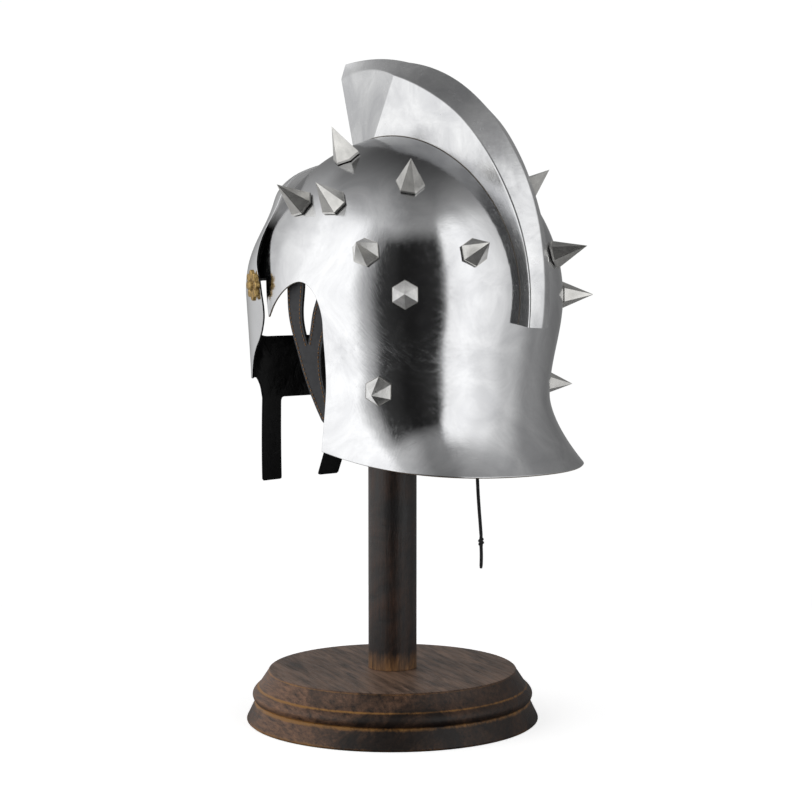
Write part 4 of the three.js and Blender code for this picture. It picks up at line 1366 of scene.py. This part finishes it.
# Worn bands: height, half width and strength
BASE_BANDS = [
    (BEAD_TOP + 0.2, 1.0, 1.0), (COVE_HEIGHT - 0.2, 2.2, 1.2),
    (BASE_HEIGHT - 1, 0.6, 0.5), (0.6, 2.6, 0.55),
]
BASE_STAINS = [(0.01, 0.007, 0.006, 1), (0.38, 0.2, 0.115, 1), GOLD]
POST_BANDS = [(BASE_HEIGHT - 4, 22, 1.1)]
POST_STAINS = [(0.005, 0.004, 0.004, 1), (0.12, 0.052, 0.026, 1), (0.45, 0.23, 0.09, 1)]


# Studio


# Brightness round the horizon, by degrees from the camera's side: a dark gap behind the camera,
# a wide white screen on its left and a narrower one on its right that fades to grey
HORIZON = [
    (-180, 0.2), (-130, 0.5), (-105, 0.72), (-80, 0.95), (-42, 1.0), (-31, 0.42), (-19, 0.03),
    (0, 0.01),
    (24, 0.02), (27, 0.12), (31, 0.85), (46, 1.0), (65, 0.78), (86, 0.48), (110, 0.22), (150, 0.14),
    (180, 0.2),
]
# Brightness of the ceiling, from over the camera to behind the helmet
CEILING = [(0, 0.29), (0.15, 0.25), (0.39, 0.17), (0.65, 0.12), (1, 0.13)]
# How much brighter it is from the left to the right, as a share of CEILING_SPREAD
CEILING_SIDES = [(0, 1), (0.3, 0.66), (0.52, 0.23), (0.64, 0.27), (0.82, 0.66), (1, 0.8)]
CEILING_SPREAD = 3.2
SCREEN_TOP = 50
SCREEN_SOFTNESS = 6
GAP_TOP = 43
STUDIO_STRENGTH = 1.22


def ramp(tree, value, stops, interpolation="LINEAR"):
    made = node(tree, "ValToRGB", {"Fac": value})
    elements = made.color_ramp.elements
    made.color_ramp.interpolation = interpolation
    while len(elements) < len(stops):
        elements.new(0.5)
    for element, (place, level) in zip(elements, stops):
        element.position = place
        element.color = (level, level, level, 1)
    return made.outputs["Color"]


def make_world():
    world = bpy.data.worlds.new("studio")
    bpy.context.scene.world = world
    world.use_nodes = True
    tree = world.node_tree
    background = tree.nodes["Background"]
    direction = node(tree, "TexCoord").outputs["Generated"]
    forward = dot(tree, direction, TO_CAMERA)
    across = dot(tree, direction, ASIDE)
    turn = combine(tree, "ARCTAN2", across, forward)
    turn_share = remap(tree, turn, -math.pi, math.pi)
    stops = [((degrees + 180) / 360, value) for degrees, value in HORIZON]
    level = ramp(tree, turn_share, stops, "EASE")
    rise = combine(tree, "ARCSINE", height_of(tree, direction), 0.0)
    ceiling = ramp(tree, remap(tree, forward, 0.75, -1.0), CEILING)
    sides = ramp(tree, remap(tree, across, -1.0, 1.0), CEILING_SIDES)
    spread = remap(tree, sides, 0.0, 1.0, 0.0, CEILING_SPREAD)
    scaled = node(tree, "VectorMath", {0: ceiling, "Scale": spread}, operation="SCALE")
    top = remap(tree, level, 0.0, 1.0, math.radians(GAP_TOP), math.radians(SCREEN_TOP))
    past_top = combine(tree, "SUBTRACT", rise, top)
    soft = math.radians(SCREEN_SOFTNESS)
    above = remap(tree, past_top, -soft, soft)
    light = blend(tree, above, level, scaled.outputs[0])
    seen = node(tree, "LightPath").outputs["Is Camera Ray"]
    tree.links.new(blend(tree, seen, light, (0.83, 0.83, 0.83, 1)), background.inputs["Color"])
    background.inputs["Strength"].default_value = STUDIO_STRENGTH


FLOOR_RADIUS = 620
FLOOR_GAP = 0.05
# Painted light and shade of the floor in reflections, from the camera's right to its left
FLOOR_REACH = 0.25
FLOOR_PAINTED_SHADES = [(0, 0.4), (0.25, 0.3), (0.42, 0.16), (0.62, 0.16), (0.9, 0.8)]


def make_floor():
    """A pale round floor that is white to the camera, with painted light and shade where it is
    reflected.
    """
    corners = 96
    turns = [2 * math.pi * i / corners for i in range(corners)]
    points = [Vector((math.cos(turn), math.sin(turn), 0)) * FLOOR_RADIUS * MM for turn in turns]
    mesh = bpy.data.meshes.new("floor")
    mesh.from_pydata(points, [], [tuple(range(corners))])
    floor = bpy.data.objects.new("floor", mesh)
    bpy.context.scene.collection.objects.link(floor)
    floor.location.z = -FLOOR_GAP * MM
    material, tree, shader = new_material("pale_floor", Roughness=0.9, Specular_IOR_Level=0.1)
    seen = node(tree, "LightPath").outputs["Is Camera Ray"]
    side = dot(tree, object_place(tree), -ASIDE)
    # Painted light and shade: in reflections the floor is darker along the camera's line and lighter on
    # its left
    reflected_painted_shade = ramp(tree, remap(tree, side, -FLOOR_REACH, FLOOR_REACH), FLOOR_PAINTED_SHADES)
    tone = blend(tree, seen, reflected_painted_shade, (0.88, 0.88, 0.88, 1))
    feed(tree, shader, Base_Color=tone)
    shader.inputs["Emission Color"].default_value = (1, 1, 1, 1)
    feed(tree, shader, Emission_Strength=remap(tree, seen, 0.0, 1.0, 0.0, 0.7))
    mesh.materials.append(material)


make_camera()
seam_steel = plain_metal("seam_steel", (0.3, 0.27, 0.24, 1), 0.45, 0.2, (1, 1, 1), 0.05)
make_lace(lace_material())

steel = polished_steel(
    "polished_steel", (0.86, 0.865, 0.875, 1), (0.78, 0.785, 0.8, 1), 0.07, 1.3, 0.006)
dome_steel = polished_steel(
    "dome_steel", (0.86, 0.865, 0.875, 1), (0.68, 0.685, 0.7, 1), 0.075, 1.3, 0.007, crown=0.3)
crest_steel = polished_steel(
    "crest_steel", (0.88, 0.885, 0.89, 1), (0.66, 0.665, 0.68, 1), 0.17, 1.0, 0.012, metal=0.84)
inner_steel = plain_metal("inner_steel", (0.5, 0.5, 0.5, 1), 0.35, 0.2, (1, 1, 1), 0.08, 300)
# Painted highlight: the skull's cut edges are coloured warm cream for the light they catch
painted_highlight_edge = plain_metal("painted_highlight_edge", (0.93, 0.84, 0.7, 1), 0.3, 0.15, (1, 1, 1), 0.03)
spike_steel = plain_metal("spike_steel", (0.86, 0.85, 0.82, 1), 0.2, 0.05, (1, 1, 6), 0.002, 500, 0.82)
black_paint = gloss_black()
leather = leather_material()
thread = thread_material()
base_wood = wood_material("dark_wood", (0.6, 5, 5), (0, 0, -GRAIN_ANGLE), BASE_STAINS, BASE_BANDS, 0.36)
upright_wood = wood_material("dark_wood_upright", (6, 6, 0.5), (0, 0, 0), POST_STAINS, POST_BANDS, 0.6)

make_skull([dome_steel, inner_steel, painted_highlight_edge])
make_crest([crest_steel], seam_steel)
make_guard([steel, black_paint, black_paint])
finish_spikes(spike_steel)
make_rosettes([antique_brass()])
make_headband(leather, thread)
make_straps(leather, thread)
make_stand(base_wood, upright_wood)
make_world()
make_floor()
bpy.context.scene.view_settings.view_transform = "Standard"
